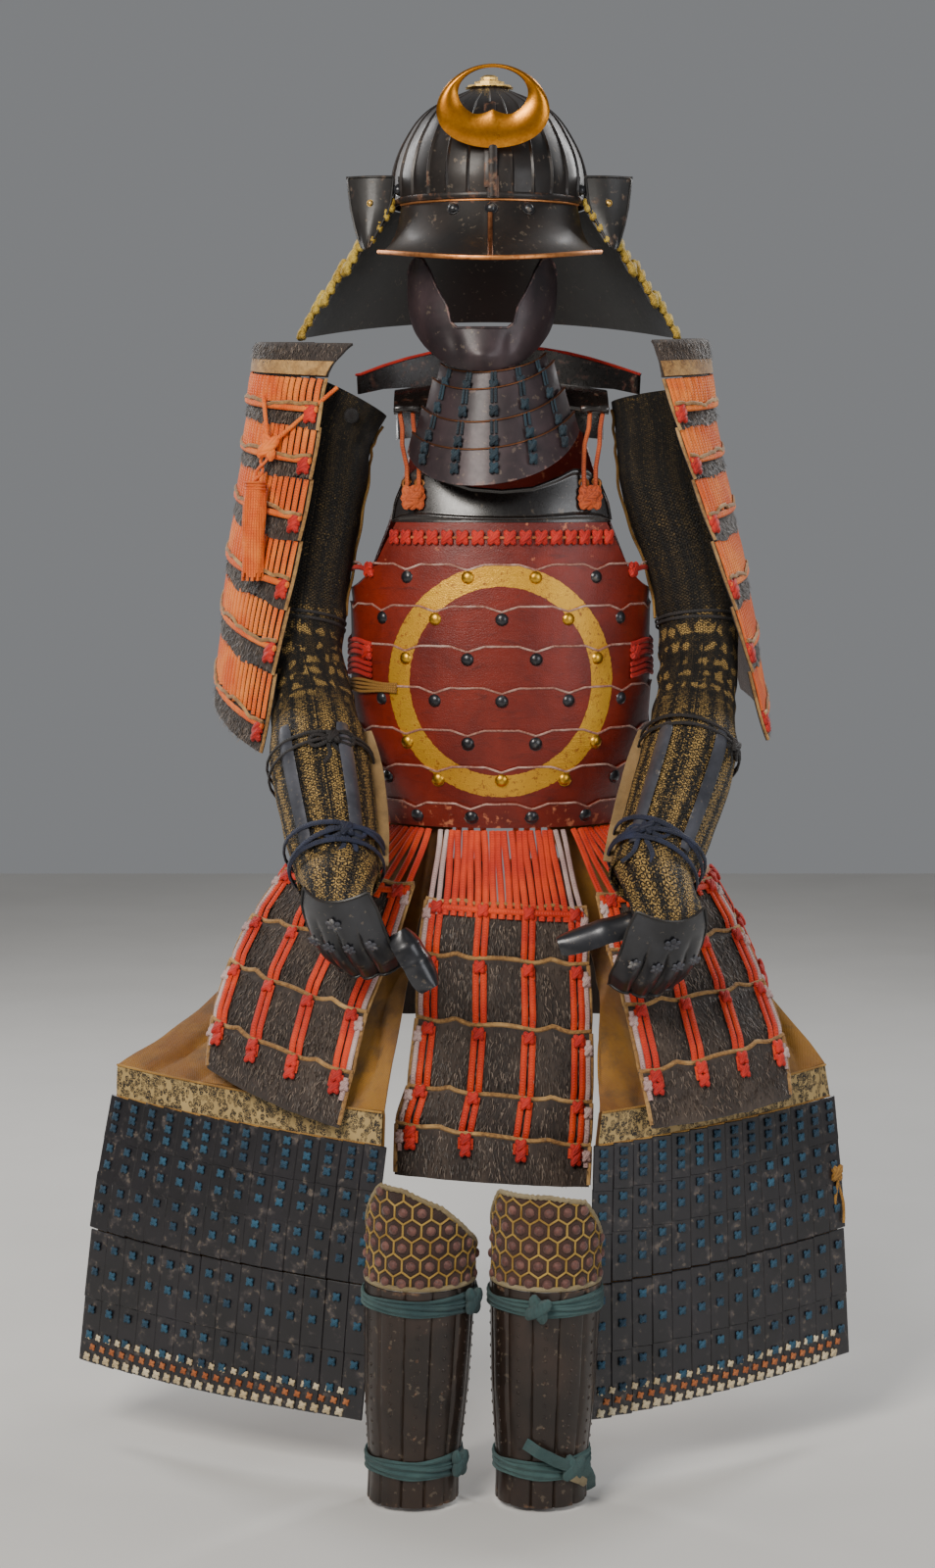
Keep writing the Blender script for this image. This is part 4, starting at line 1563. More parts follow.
for side, sign in (("right", -1), ("left", 1)):
    thin = [turn_round(side, 3.62, 3.6, 0.03), turn_round(side, 3.7, 3.4, 0.05)]
    own(braids("tie", thin, 3.6, 2.4), f"arm_cord_{side}", "black_iron", black_silk)
    forearm = [turn_round(side, 6.18 if side == "right" else 5.9, 5.8, 0.04), turn_round(side, 6.3 if side == "right" else 6.02, 5.6, -0.03)]
    own(braids("tie", forearm, 4.4, 3), f"forearm_cord_{side}", "black_iron", black_silk)
    wrist = [turn_round(side, 7.55, 6.6, 0.12), turn_round(side, 7.66, 7.4, -0.08), turn_round(side, 7.8, 6.4, 0.05)]
    own(braids("tie", wrist, 6.4, 3.2), f"wrist_cord_{side}", "teal_cloth", navy_silk)
bow("forearm_bow_right", "right", 0.04, 6.28, 26, 30, black_silk, "black_iron")
bow("forearm_bow_left", "left", 0.17, 6.0, 20, 24, black_silk, "black_iron")
bow("wrist_bow_right", "right", 0.04, 7.66, 22, 26, navy_silk, "teal_cloth", 5.6, 3.2)
bow("wrist_bow_left", "left", -0.04, 7.66, 24, 44, navy_silk, "teal_cloth", 5.6, 3.2)
seams = []
for side, turns in (("right", 0.24), ("left", -0.24)):
    path = [sleeve_at(side, turns + 0.008 * math.sin(5 * v), v, 3.0 + 0.8 * math.sin(11 * v)) for v in steps(40, 0.2, 3.55)]
    seams.append((path, [sleeve_out(side, turns, v) for v in steps(40, 0.2, 3.55)]))
own(braids("seams", seams, 6, 3.4), "sleeve_seam_edges", "ochre_cloth", ochre_silk)
button = domed_rivet(8, 6, 0.1)
spot = sleeve_at("right", 0.06, 0.42, 2.4)
own(spread(button, [(spot, sleeve_out("right", 0.06, 0.42), (0, 0, 1), 1)]), "shoulder_button", "black_iron", black_silk)
shed(button)
print("ties: 12 turns and 4 bows")

# %% Tan cloth edges inside the forearms
for side, sign in (("right", 1), ("left", -1)):
    def flap(a, b, side=side, sign=sign):
        v = lerp(5.7, 7.85, b)
        root = sleeve_at(side, sign * 0.245, v, 1.0)
        out = sleeve_out(side, sign * 0.25, v)
        wave = 2.2 * math.sin(9 * b + 2 * a) + 1.5 * noise.noise(Vector((a * 2, b * 6, 4)))
        return root + out * (13 * a * (0.7 + 0.3 * math.sin(math.pi * b))) + Vector((0, -1, 0.3)) * wave * a

    edge = formed("flap", 5, 40, flap, (0.014, 0.2), (0, 0, 900), 2)
    own(edge, f"sleeve_lining_{side}", "ochre_cloth", tan_cloth)
print("lining edges: 2")

# %% [markdown]
# The hand plates are hammered iron: a dome over the back of the hand, four knuckles raised in it, and
# a small flower boss on each. They are formed again with finer faces, in the same tilted frame.

# %% Hand plates
HANDS = {"right": ((-146, -296, 588), -28, 38), "left": ((172, -296, 568), 22, 38)}


def hand_frame(side):
    at, turn, tilt = HANDS[side]
    matrix = Matrix.Rotation(math.radians(turn), 3, "Z") @ Matrix.Rotation(math.radians(tilt), 3, "X")
    return lambda x, y, z: matrix @ Vector((x, y, z)) + Vector(at)


def hand_at(side, u, v, lift=0.0):
    narrow = 1 - 0.16 * bump(1 - abs(v), 0.4)
    arch = abs(math.sin(4 * math.pi * (u + 1) / 2)) ** 0.7
    knuckle = 6.4 * arch * min(1, max(0, (0.55 - v) / 0.5)) * (1 - 0.25 * max(0, -v - 0.4))
    return hand_frame(side)(46 * u * narrow, -24 * (1 - 0.75 * u * u) + 10 * v * v - knuckle - lift, 54 * v)


deselect()
bpy.ops.mesh.primitive_uv_sphere_add(segments=8, ring_count=5, radius=0.001)
leaf = bpy.context.object
for vert in leaf.data.vertices:
    vert.co = (vert.co.x * 2.6, vert.co.y * 1.3, vert.co.z * 3.4)
for side in ("right", "left"):
    def hand_cloth(a, b, side=side):
        u, ease = 2 * a - 1, b * b * (3 - 2 * b)
        start, end = sleeve_at(side, 0.27 * u, 7.86, 1.2), hand_at(side, 0.94 * u, 0.84, -3.2)
        fold = 1.4 * math.sin(7 * b + 3 * u) + 1.2 * noise.noise(Vector((u * 2, b * 3, 6)))
        return start.lerp(end, lerp(b, ease, 0.5)) + Vector((0, -0.7, 0.7)) * (6 * math.sin(math.pi * b) + fold * math.sin(math.pi * b))

    back = formed("back", 34, 26, hand_cloth, (0.085, 0.08), tuple(sleeve_middle(side, 7.9) + Vector((0, 10, -60))), 2)
    own(back, f"hand_cloth_{side}", "mail_cloth", sleeve_mail)
    for corner in back.data.uv_layers.active.data:
        corner.uv = (corner.uv[0], corner.uv[1] + 0.62)
    plate = formed("plate", 48, 30, lambda a, b, s=side: hand_at(s, 2 * a - 1, 2 * b - 1), (0.1, 0.11), tuple(hand_frame(side)(0, 60, 0)), 2)
    own(plate, f"hand_iron_{side}", "black_iron", plate_iron, smooth=50)
    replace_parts(plate, f"hand_plate_{side}")
    rim = [hand_at(side, -1, v, 0.6) for v in steps(12, -0.98, 0.98)] + [hand_at(side, u, 1, 0.6) for u in steps(12, -0.96, 0.96)]
    rim += [hand_at(side, 1, v, 0.6) for v in steps(12, 0.98, -0.98)] + [hand_at(side, u, -1, 0.6) for u in steps(24, 0.96, -0.98)]
    out = (hand_frame(side)(0, -1, 0) - hand_frame(side)(0, 0, 0)).normalized()
    up = (hand_frame(side)(0, 0, 1) - hand_frame(side)(0, 0, 0)).normalized()
    own(braids("rim", [(rim, out)], 3.2, 2.8), f"hand_rim_{side}", "black_iron", lame_iron)
    flowers = []
    for u, v in ((-0.74, 0.0), (-0.26, 0.02), (0.26, 0.02), (0.74, 0.0), (0.0, 0.5)):
        heart = hand_at(side, u, v, 0.7)
        for k in range(6):
            a = math.pi * k / 3
            across = up.cross(out)
            way = up * math.cos(a) + across * math.sin(a)
            flowers.append((heart + way * (5.6 if v > 0.3 else 4.4), out, way, 1.3 if v > 0.3 else 1))
        flowers.append((heart + out * 0.6, out, up, 1))
    own(spread(leaf, flowers), f"hand_flowers_{side}", "black_iron", splint_iron)
shed(leaf)

THUMBS = {"right": ((-79.3, -312.5, 558), 36, 34, 30), "left": ((121.4, -299, 585.9), -8, 55, 74)}
for side, tip in (("right", 1), ("left", -1)):
    at, turn, length, lean = THUMBS[side]
    axis = Vector((tip * math.sin(math.radians(lean)), -0.1, -math.cos(math.radians(lean)))).normalized()
    up = Matrix.Rotation(math.radians(turn) * 0.3, 3, "Z") @ Vector((0, -0.55, 0.83)).normalized()
    across = axis.cross(up).normalized()
    out = across.cross(axis).normalized()

    def thumb(a, b):
        u, v = 2 * a - 1, 2 * b - 1
        width = 19 * math.sqrt(max(0.12, 1 - (0.9 * v) ** 4))
        joint = 1.2 * math.exp(-((v - 0.1) / 0.12) ** 2) + 1.0 * math.exp(-((v + 0.45) / 0.1) ** 2)
        return Vector(at) + axis * length * v + across * width * u + out * (13 * (1 - u * u) - 3 * v * v + joint)

    plate = formed("thumb", 20, 30, thumb, (0.04, 0.1), tuple(Vector(at) - out * 60), 2)
    own(plate, f"thumb_iron_{side}", "black_iron", plate_iron, smooth=50)
    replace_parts(plate, f"thumb_plate_{side}")
print("hands: 2 plates, 2 thumbs, 10 flowers")

# %% [markdown]
# The shoulder guards are six lames each, laced with close rows of orange braid that leave a band of
# fur free at every lame's foot. A fur-covered cap with a tan leather band closes the top. The surface
# passes through three upright lines: the front edge, the outermost line and the back edge.

# %% Shoulder guards
GUARD = {
    "right": [(0, 1198, -150, -76, -256, -4, -200, 96, 8), (1, 1160, -178, -82, -262, 0, -215, 100, 18), (2, 1096, -187, -86, -268, 2, -225, 104, 30), (3, 1026, -198, -93, -276, 4, -236, 106, 44), (4, 940, -214, -100, -288, 5, -250, 106, 60), (5, 856, -231, -107, -296, 5, -262, 104, 78), (6, 752, -248, -106, -306, 5, -274, 100, 96)],
    "left": [(0, 1202, 176, -70, 238, 0, 216, 96, 8), (1, 1160, 188, -78, 244, 2, 222, 100, 14), (2, 1096, 206, -82, 250, 4, 232, 102, 20), (3, 1026, 228, -86, 264, 5, 244, 104, 26), (4, 940, 256, -88, 282, 5, 260, 104, 32), (5, 856, 280, -88, 296, 5, 276, 102, 38), (6, 764, 302, -86, 308, 5, 290, 100, 44)],
}
GUARD_LAMES = 6


def guard_at(side, u, v):
    row = [read(GUARD[side], c, v) for c in range(1, 9)]
    z, fx, fy, mx, my, bx, by, slant = row
    f, m, b = u * (u - 1) / 2, 1 - u * u, u * (u + 1) / 2
    return Vector((f * fx + m * mx + b * bx, f * fy + m * my + b * by, z + slant * (u + 1) / 2))


for side in ("right", "left"):
    inside = (-150 if side == "right" else 170, 10, 1000)

    def surface(u, v, side=side):
        return guard_at(side, u, v)

    lames, edges, cords, knots, seeds = [], [], [], [], []
    for i in range(GUARD_LAMES):
        top, foot = 1.012 + i * 4.988 / 6, 1.012 + (i + 1) * 4.988 / 6

        def lame(a, b, top=top, foot=foot, i=i):
            u = 2 * a - 1
            ragged = 0.05 * math.sin(11 * u + i * 2) + 0.05 * noise.noise(Vector((u * 4, i, 9))) if b < 0.05 else 0
            v = min(5.995, max(1.012, lerp(foot + 0.02 + ragged * 0.7, top, b)))
            flare = 4.2 * (1 - b) ** 2 + 0.8 * noise.noise(Vector((u * 3, v * 2, i)))
            return surface(u, v) + facing_of(surface, u, min(5.9, v), inside) * flare

        lames.append(formed("lame", 30, 8, lame, (0.21, 0.075), inside, 3))
        wavy, stitched, out = [], [], []
        for u in steps(56, -0.99, 0.99):
            way = facing_of(surface, u, lerp(top, foot, 0.6), inside)
            wave = 0.035 * math.sin(9 * u + i * 2) + 0.045 * bump((u * 3 + i) % 1 - 0.5, 0.2)
            wavy.append(surface(u, lerp(top, foot, 0.585 + wave)) + way * 6.6)
            stitched.append(surface(u, lerp(top, foot, 0.67)) + way * (5.8 + 0.5 * math.sin(60 * u)))
            out.append(way)
        edges.append((wavy, out))
        cords.append((stitched, out))
        for a in (0.0, 1.0):
            edges.append(([lame(a, b) for b in steps(6)], facing_of(surface, 2 * a - 1, (top + foot) / 2, inside)))
        strands = 34
        for k in range(strands):
            u = lerp(-0.965, 0.965, k / (strands - 1))
            out = facing_of(surface, u, (top + foot) / 2, inside)
            share = 0.6 + 0.02 * math.sin(k * 2.1 + i)
            path = []
            for t in steps(6, 0.02, share):
                v = lerp(top, foot, t)
                flare = 4.2 * t**2
                path.append(surface(u, v) + out * (flare + 2.4 + 0.8 * math.sin(math.pi * t / share)) + Vector((0, 0.7 * math.sin(k * 3.3 + t * 6), 0)))
            cords.append((path, out))
        front = facing_of(surface, -0.97, (top + foot) / 2, inside)
        for t in (0.7, 0.8):
            knots.append((surface(-0.93, lerp(top, foot, t)) + front * (4.2 * t * t + 2.2), front, (0, 0, 1), 1))
        for _ in range(900):
            u, t = random.uniform(-0.98, 0.98), random.uniform(0.72, 0.97)
            v = lerp(top, foot, t)
            out = facing_of(surface, u, v, inside)
            seeds.append((surface(u, v) + out * (4.2 * t * t), out, Vector((0, 0, -1)) + out * 0.1, random.uniform(5, 9)))
    body = own(join(lames), f"guard_lames_{side}", "fur_brown", fur_skin)
    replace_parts(body, f"shoulder_guard_{side}")
    own(braids("edges", edges, 4.6, 3.4), f"guard_edges_{side}", "fur_brown", tan_edge)
    own(braids("cords", cords, 7.0, 3.0), f"guard_lacing_{side}", "orange_silk", guard_silk)
    knot = cross_knot(14, 11, 5)
    own(spread(knot, knots), f"guard_knots_{side}", "orange_silk", red_silk, smooth=80)
    shed(knot)

    def cap(a, b):
        u, v = 2 * a - 1, 0.99 * (1 - b)
        swell = 3.2 * math.sin(math.pi * min(1, max(0, b))) ** 0.5 + 0.7 * noise.noise(Vector((u * 3, v * 4, 1)))
        return surface(u, v) + facing_of(surface, u, min(0.95, max(0.05, v)), inside) * swell

    top_cap = own(formed("cap", 40, 12, cap, (0.21, 0.045), inside, 3.2), f"guard_cap_hide_{side}", "fur_brown", fur_skin)
    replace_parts(top_cap, f"guard_cap_{side}")
    strip = formed("strip", 40, 3, lambda a, b: surface(2 * a - 1, lerp(0.98, 0.62, b)) + facing_of(surface, 2 * a - 1, 0.8, inside) * (4.6 + 0.5 * math.sin(9 * a)), (0.21, 0.016), inside, 1.4)
    own(strip, f"guard_band_{side}", "fur_brown", tan_edge)
    for _ in range(1100):
        u, v = random.uniform(-0.98, 0.98), random.uniform(0.03, 0.6)
        out = facing_of(surface, u, v, inside)
        seeds.append((surface(u, v) + out * 3, out, Vector((0, 0, -1)) + out * 0.1, random.uniform(5, 9)))
    own(combed_hair("hair", seeds), f"guard_hair_{side}", "fur_brown", brown_hair, smooth=0)
    print("shoulder guard", side, "with", len(cords), "strands")

# %% [markdown]
# A cord tied to the right guard's cap comes together in a knot, and a tassel hangs from it. The
# tassel is two rings of strands, so that nothing shows through, bound with three turns at its head.

# %% Tassel on the right guard
knot_at = Vector((-243, -64, 1086))
for name, start, sag in (("front", Vector((-166, -88, 1150)), 3), ("back", Vector((-249, -50, 1142)), 2)):
    path = [start.lerp(knot_at, t) + Vector((0, -sag * math.sin(math.pi * t), 0)) for t in steps(10)]
    strand = own(braids("strand", [(path, (0, -1, 0.2))], 4.6, 4.6, 8), f"tassel_cord_{name}", "orange_silk", guard_silk)
    long = sum((b - a).length for a, b in zip(path, path[1:])) / 1000
    [tuple(point(*spot)) for spot in path]
    print("tassel cord", name, round(long * 1000), "mm")
head, foot = Vector((-257, -72, 1047)), Vector((-261, -78, 940))
strands = [([knot_at.lerp(head, t) + Vector((s * 3.4 * math.cos(9 * t), -s * 2 * math.sin(9 * t), 0)) for t in steps(10)], (0, -1, 0)) for s in (-1, 1)]
for count, reach in ((26, 1.0), (12, 0.5)):
    for k in range(count):
        a = 2 * math.pi * k / count
        way = Vector((math.sin(a), -math.cos(a), 0))
        path = [head.lerp(foot, t) + way * reach * (8.5 + 3.5 * math.sin(min(1, t * 3) * math.pi / 2) - 1.5 * t) + Vector((0.7 * math.sin(8 * t + k), 0, 0)) for t in steps(8, 0, 1 - 0.04 * (k % 3))]
        strands.append((path, way))
for k in range(3):
    strands.append(([head + Vector((10.4 * math.sin(a), -10.4 * math.cos(a), -3.6 * k)) for a in steps(16, 0, 2 * math.pi)], (0, 0, 1)))
lump = cross_knot(19, 20, 8, cuts=2)
tassel = join([braids("tassel", strands, 3.4, 2.8), spread(lump, [(knot_at + Vector((0, -4, 0)), (0, -1, 0.1), (0.3, 0, 1), 1)])])
shed(lump)
own(tassel, "guard_tassel", "orange_silk", guard_silk)
print("tassel strands:", len(strands))

# %% [markdown]
# The thigh guards hang over the seated knees: ochre cloth on top, a band of patterned leather, and
# below it rows of narrow lacquered plates tied on with blue knots. The cloth lies over the thigh
# in soft creases that run down from the waist.

# %% Thigh surface and cloth
THIGH = {
    "right": [((-84, 20, 690), (-36, -90, 690)), ((-206, 20, 574), (-80, -96, 566)), ((-266, -42, 512), (-92, -160, 498)), ((-408, -132, 414), (-112, -280, 392)), ((-409, -134, 378), (-113, -283, 356)), ((-430, -134, 262), (-126, -287, 240)), ((-448, -132, 82), (-139, -290, 65))],
    "left": [((60, -90, 690), (108, 20, 690)), ((104, -96, 566), (230, 20, 574)), ((118, -160, 498), (284, -42, 512)), ((114, -280, 392), (366, -132, 414)), ((110, -283, 356), (371, -134, 378)), ((107, -287, 240), (382, -134, 262)), ((107, -290, 65), (390, -132, 90))],
}
THIGH_BOW = 14


for side in ("right", "left"):
    surface = hung(THIGH[side], THIGH_BOW)
    inside = (-150 if side == "right" else 170, 200, 200)

    def cloth(a, b, surface=surface, inside=inside, side=side):
        u, v = 2 * a - 1, 6 * (1 - b)
        crease = 0.0
        if v < 3.2:
            calm = min(1, (3.2 - v) * 2.6) * min(1, v * 1.2)
            turn = 1 if side == "right" else 4
            long = (1 - abs(math.sin(2.6 * u + 0.8 * v + turn + 0.3 * math.sin(3 * v)))) ** 3
            short = (1 - abs(math.sin(5.5 * u - 1.6 * v + 2 * turn))) ** 4
            pucker = (1 - abs(math.sin(8.5 * u + 1.9 * v + turn + 0.8 * math.sin(4 * v)))) ** 2
            crease = 9 * long + 5 * short * bump(u + 0.2 * turn - 0.6, 1.2) + 4 * noise.noise(Vector((u * 2.5, v * 1.1, 5)))
            crease -= 8 * pucker * min(1, max(0, v - 1.4))
            crease *= calm
        return surface(u, v) + facing_of(surface, u, max(0.02, v), inside) * (crease * 0.9 - 1.5)

    sheet = formed("cloth", 84, 96, cloth, (0.3, 0.72), inside, 2)
    own(sheet, f"thigh_sheet_{side}", "ochre_cloth", ochre_cloth)
    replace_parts(sheet, f"thigh_cloth_{side}")

# %% [markdown]
# The band's pattern is a plain stencilled one, small leaves and dots in black on cream leather.
# It is made from cells of a Voronoi texture and noise, at the size of the print.

# %% Patterned band
def stencilled(name):
    made, tree, shader = open_material(name)
    cut = laid_out(tree)
    place = own_axes(tree)
    cells = put(tree, "ShaderNodeTexVoronoi", Vector=scaled(tree, cut, (1.0, 0.7, 1.0)), Scale=210.0).outputs["Distance"]
    curl = grain(tree, cut, 330.0, 3, 0.6, 2.6)
    ink = maths(tree, "MULTIPLY", maths(tree, "LESS_THAN", cells, 0.62), maths(tree, "GREATER_THAN", curl, 0.46))
    rubbed = ramp(tree, grain(tree, place, 60.0, 5, 0.75), [(0.32, grey(0.1)), (0.5, grey(1))])
    base = tinted(tree, grain(tree, place, 25.0, 4), rgb("8a7144"), rgb("bba06a"))
    tree.links.new(tinted(tree, maths(tree, "MULTIPLY", ink, rubbed), base, rgb("1c1611")), shader.inputs["Base Color"])
    shader.inputs["Roughness"].default_value = 0.62
    bumped(tree, shader, maths(tree, "MULTIPLY_ADD", ink, -0.4, grain(tree, place, 400.0, 3)), 0.0004, 0.7)
    return made


band_leather = stencilled("band_leather")
for side in ("right", "left"):
    surface = hung(THIGH[side], THIGH_BOW)
    inside = (-150 if side == "right" else 170, 200, 200)

    def band(a, b, surface=surface, inside=inside):
        u, v = 2 * a - 1, lerp(3.98, 3.03, b)
        return surface(u * 0.99, v) + facing_of(surface, u, v, inside) * (2.8 + 0.5 * math.sin(8 * a + 3 * b))

    strip = own(formed("band", 50, 6, band, (0.33, 0.036), inside, 1.8), f"stencilled_band_{side}", "patterned_leather", band_leather)
    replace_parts(strip, f"thigh_band_{side}")
    rims = []
    for v in (3.03, 3.99):
        rims.append(([surface(u, v) + facing_of(surface, u, v, inside) * 3 for u in steps(30, -0.99, 0.99)], facing_of(surface, 0, v, inside)))
    own(braids("piping", rims, 2.6, 2.6), f"band_piping_{side}", "ochre_cloth", ochre_silk)
print("bands: 2")

# %% [markdown]
# One plate is modelled and copied 140 times: a flat bar from a cube, its corners bevelled, scaled to
# its place. Each row hangs from knots in the row above, so every plate leans slightly its own way.

# %% Thigh plates and knots
SCALE_ROWS, SCALE_COLUMNS = 5, 14


def long_plate(wide, tall, thick):
    deselect()
    bpy.ops.mesh.primitive_cube_add(size=1)
    plate = bpy.context.object
    for vert in plate.data.vertices:
        vert.co = (vert.co.x * wide / 1000, vert.co.y * thick / 1000, vert.co.z * tall / 1000)
    bpy.ops.object.mode_set(mode="EDIT")
    bpy.ops.mesh.select_all(action="SELECT")
    bpy.ops.mesh.bevel(offset=0.0009, segments=1, affect="EDGES")
    bpy.ops.object.mode_set(mode="OBJECT")
    return plate


PLATE_WIDE, PLATE_TALL = 24, 60
for side in ("right", "left"):
    surface = hung(THIGH[side], THIGH_BOW)
    inside = (-150 if side == "right" else 170, 200, 200)
    plates, knots = [], []
    for row in range(SCALE_ROWS):
        top, foot = 4.01 + row * 1.98 / SCALE_ROWS, 4.01 + (row + 1) * 1.98 / SCALE_ROWS
        for c in range(SCALE_COLUMNS):
            u = lerp(-0.955, 0.955, c / (SCALE_COLUMNS - 1))
            v = (top + foot) / 2
            out = facing_of(surface, u, v, inside)
            up = (surface(u, top) - surface(u, foot)).normalized()
            across = (surface(min(1, u + 0.05), v) - surface(u - 0.05, v)).length / (min(1, u + 0.05) - u + 0.05) * 2 * 0.955 / (SCALE_COLUMNS - 1)
            tall = (surface(u, top) - surface(u, foot)).length
            lean = Vector((random.uniform(-0.012, 0.012), 0, 0))
            lift = 4.1 + (0.5 if c % 2 else 0) + random.uniform(-0.15, 0.15)
            plates.append((surface(u, v) + out * lift, out + Vector((0, 0, 0.02)), up + lean, (across, tall)))
            marks = (0.16, 0.44, 0.72) if row == 0 else (0.2, 0.6)
            for t in marks:
                knots.append((surface(u, lerp(top, foot, t)) + out * (lift + 2.2), out, up, 1))
    unit = long_plate(PLATE_WIDE, PLATE_TALL, 2.0)
    copies = []
    for spot, out, up, (across, tall) in plates:
        bar = bpy.data.objects.new("bar", unit.data.copy())
        out = out.normalized()
        up = (up - out * up.dot(out)).normalized()
        turn = Matrix((up.cross(out), -out, up)).transposed().to_4x4()
        fit = Matrix.Diagonal((across * 1.02 / PLATE_WIDE, 1, tall * 1.07 / PLATE_TALL, 1))
        bar.data.transform(Matrix.Translation(point(*spot)) @ turn @ fit)
        bpy.context.collection.objects.link(bar)
        copies.append(bar)
    shed(unit)
    whole = own(join(copies), f"thigh_plates_{side}", "scale_leather", scale_leather)
    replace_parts(whole, f"thigh_scales_{side}")
    knot = cross_knot(8, 6, 2.6)
    own(spread(knot, knots), f"thigh_knots_{side}", "teal_cloth", blue_silk, smooth=80)
    hem_rows = {"cream": [], "rust": []}
    for r, v in enumerate((5.84, 5.905, 5.97)):
        for c in range(24):
            u = lerp(-0.96, 0.96, (c + 0.5 * (r % 2)) / 24)
            out = facing_of(surface, u, 5.9, inside)
            hem_rows["rust" if r == 1 else "cream"].append((surface(u, v) + out * 6.2, out, (0.3, 0, 1), 1.0 if r == 2 else 0.8))
    own(spread(knot, hem_rows["cream"]), f"hem_knots_cream_{side}", "ochre_cloth", cream_silk, smooth=80)
    own(spread(knot, hem_rows["rust"]), f"hem_knots_rust_{side}", "orange_silk", rust_silk, smooth=80)
    shed(knot)
    print("thigh guard", side, len(plates), "plates,", len(knots), "knots")

# %% [markdown]
# The shin guards are long splints side by side in a half round, with a quilted pad over the knee and
# two cloth ties. The splints are made on the solids' own surface with rounded crowns, a narrow
# groove between them and a row of tiny studs down each.

# %% Shin guards
SHIN = {"right": ((-82, -352), (-70, -338)), "left": ((51, -352), (58, -338))}
SHIN_SHAPE = [(4, 45, 44), (40, 45, 46), (120, 51, 53), (200, 54, 57), (232, 55, 58), (340, 57, 59)]
SHIN_REACH, SHIN_SPLINTS = 105, 7


def shin_at(side, degrees, z, grow=0.0):
    low, high = SHIN[side]
    x, y = lerp(low[0], high[0], z / 340), lerp(low[1], high[1], z / 340)
    return on_oval(x, y, read(SHIN_SHAPE, 1, z) + grow, read(SHIN_SHAPE, 2, z) + grow, degrees, z)


def shin_out(side, degrees, z):
    low, high = SHIN[side]
    return away_from((lerp(low[0], high[0], z / 340), lerp(low[1], high[1], z / 340)), shin_at(side, degrees, z))


pitch = 2 * SHIN_REACH / SHIN_SPLINTS
dome = domed_rivet(1.7, 0.8)
for side in ("right", "left"):
    middle = (SHIN[side][0][0], SHIN[side][0][1], 120)

    def splints(a, b, side=side):
        degrees, z = lerp(-SHIN_REACH, SHIN_REACH, a), lerp(4.2, 231, b)
        share = (a * SHIN_SPLINTS) % 1
        crown = 2.6 * min(1, (min(share, 1 - share) / 0.09)) ** 0.5 * (0.8 + 0.2 * math.sin(math.pi * share))
        return shin_at(side, degrees, z, crown + 0.3 * noise.noise(Vector((a * 30, b * 12, 1))))

    guard = own(formed("splints", SHIN_SPLINTS * 12, 40, splints, (0.19, 0.227), middle, 2.2), f"shin_splints_{side}", "russet_iron", shin_iron, smooth=40)
    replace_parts(guard, f"shin_guard_{side}")
    studs = []
    for k in range(SHIN_SPLINTS):
        degrees = -SHIN_REACH + (k + 0.5) * pitch
        for z in steps(11, 66, 196):
            studs.append((shin_at(side, degrees, z, 2.8), shin_out(side, degrees, z), (0, 0, 1), 1))
    own(spread(dome, studs), f"shin_studs_{side}", "russet_iron", shin_iron)
shed(dome)
print("splints:", 2 * SHIN_SPLINTS, "with", 2 * len(studs), "studs")

# %% [markdown]
# The knee pads are padded cloth quilted in hexagons, with a horn dome under each and gold cord along the
# quilting lines. The hexagons are laid out on the unrolled pad, in degrees and millimetres, and
# every point of the pad puffs up with its distance from the nearest line.

# %% Knee pads
KNEE_LOW = 231.5
KNEE_TOP = {
    "right": [(-100, 282), (-50, 338), (-20, 336), (20, 318), (60, 286), (100, 262)],
    "left": [(-100, 284), (-60, 330), (0, 330), (40, 322), (70, 290), (100, 262)],
}
HEX_WIDE, HEX_TALL = 19.4, 18.2
ARC = 1.0  # millimetres of pad for each degree round the shin


def hex_centre(across, up):
    row = round(up / HEX_TALL)
    shift = 0.5 * (row % 2)
    best = None
    for r in (row - 1, row, row + 1):
        s = 0.5 * (r % 2)
        c = round(across / HEX_WIDE - s) + s
        far = math.hypot((across - c * HEX_WIDE), (up - r * HEX_TALL) * 1.1)
        if best is None or far < best[0]:
            best = (far, c * HEX_WIDE, r * HEX_TALL)
    return best


def gold_cord_lines(side):
    """The three lower edges of every hexagon that lies on the pad."""
    runs, domes = [], []
    h = HEX_TALL * 2 / 3
    for row in range(0, 8):
        for c in range(-7, 8):
            x, z = (c + 0.5 * (row % 2)) * HEX_WIDE, row * HEX_TALL + 8
            degrees = x / ARC
            if abs(degrees) > 99:
                continue
            top = read_straight(KNEE_TOP[side], 1, degrees)
            if KNEE_LOW + z < top - 7 and abs(degrees) < 94:
                domes.append((degrees, KNEE_LOW + z))
            corners = [(x - HEX_WIDE / 2, z + h / 2), (x - HEX_WIDE / 2, z - h / 2), (x, z - h), (x + HEX_WIDE / 2, z - h / 2)]
            for (x0, z0), (x1, z1) in zip(corners, corners[1:]):
                path = []
                for t in steps(3):
                    d, zz = lerp(x0, x1, t) / ARC, KNEE_LOW + lerp(z0, z1, t)
                    if abs(d) < 99.5 and KNEE_LOW < zz < read_straight(KNEE_TOP[side], 1, d) - 1.5:
                        path.append(shin_at(side, d, zz, 0.9))
                if len(path) > 1:
                    runs.append((path, shin_out(side, x / ARC, KNEE_LOW + z)))
    return runs, domes


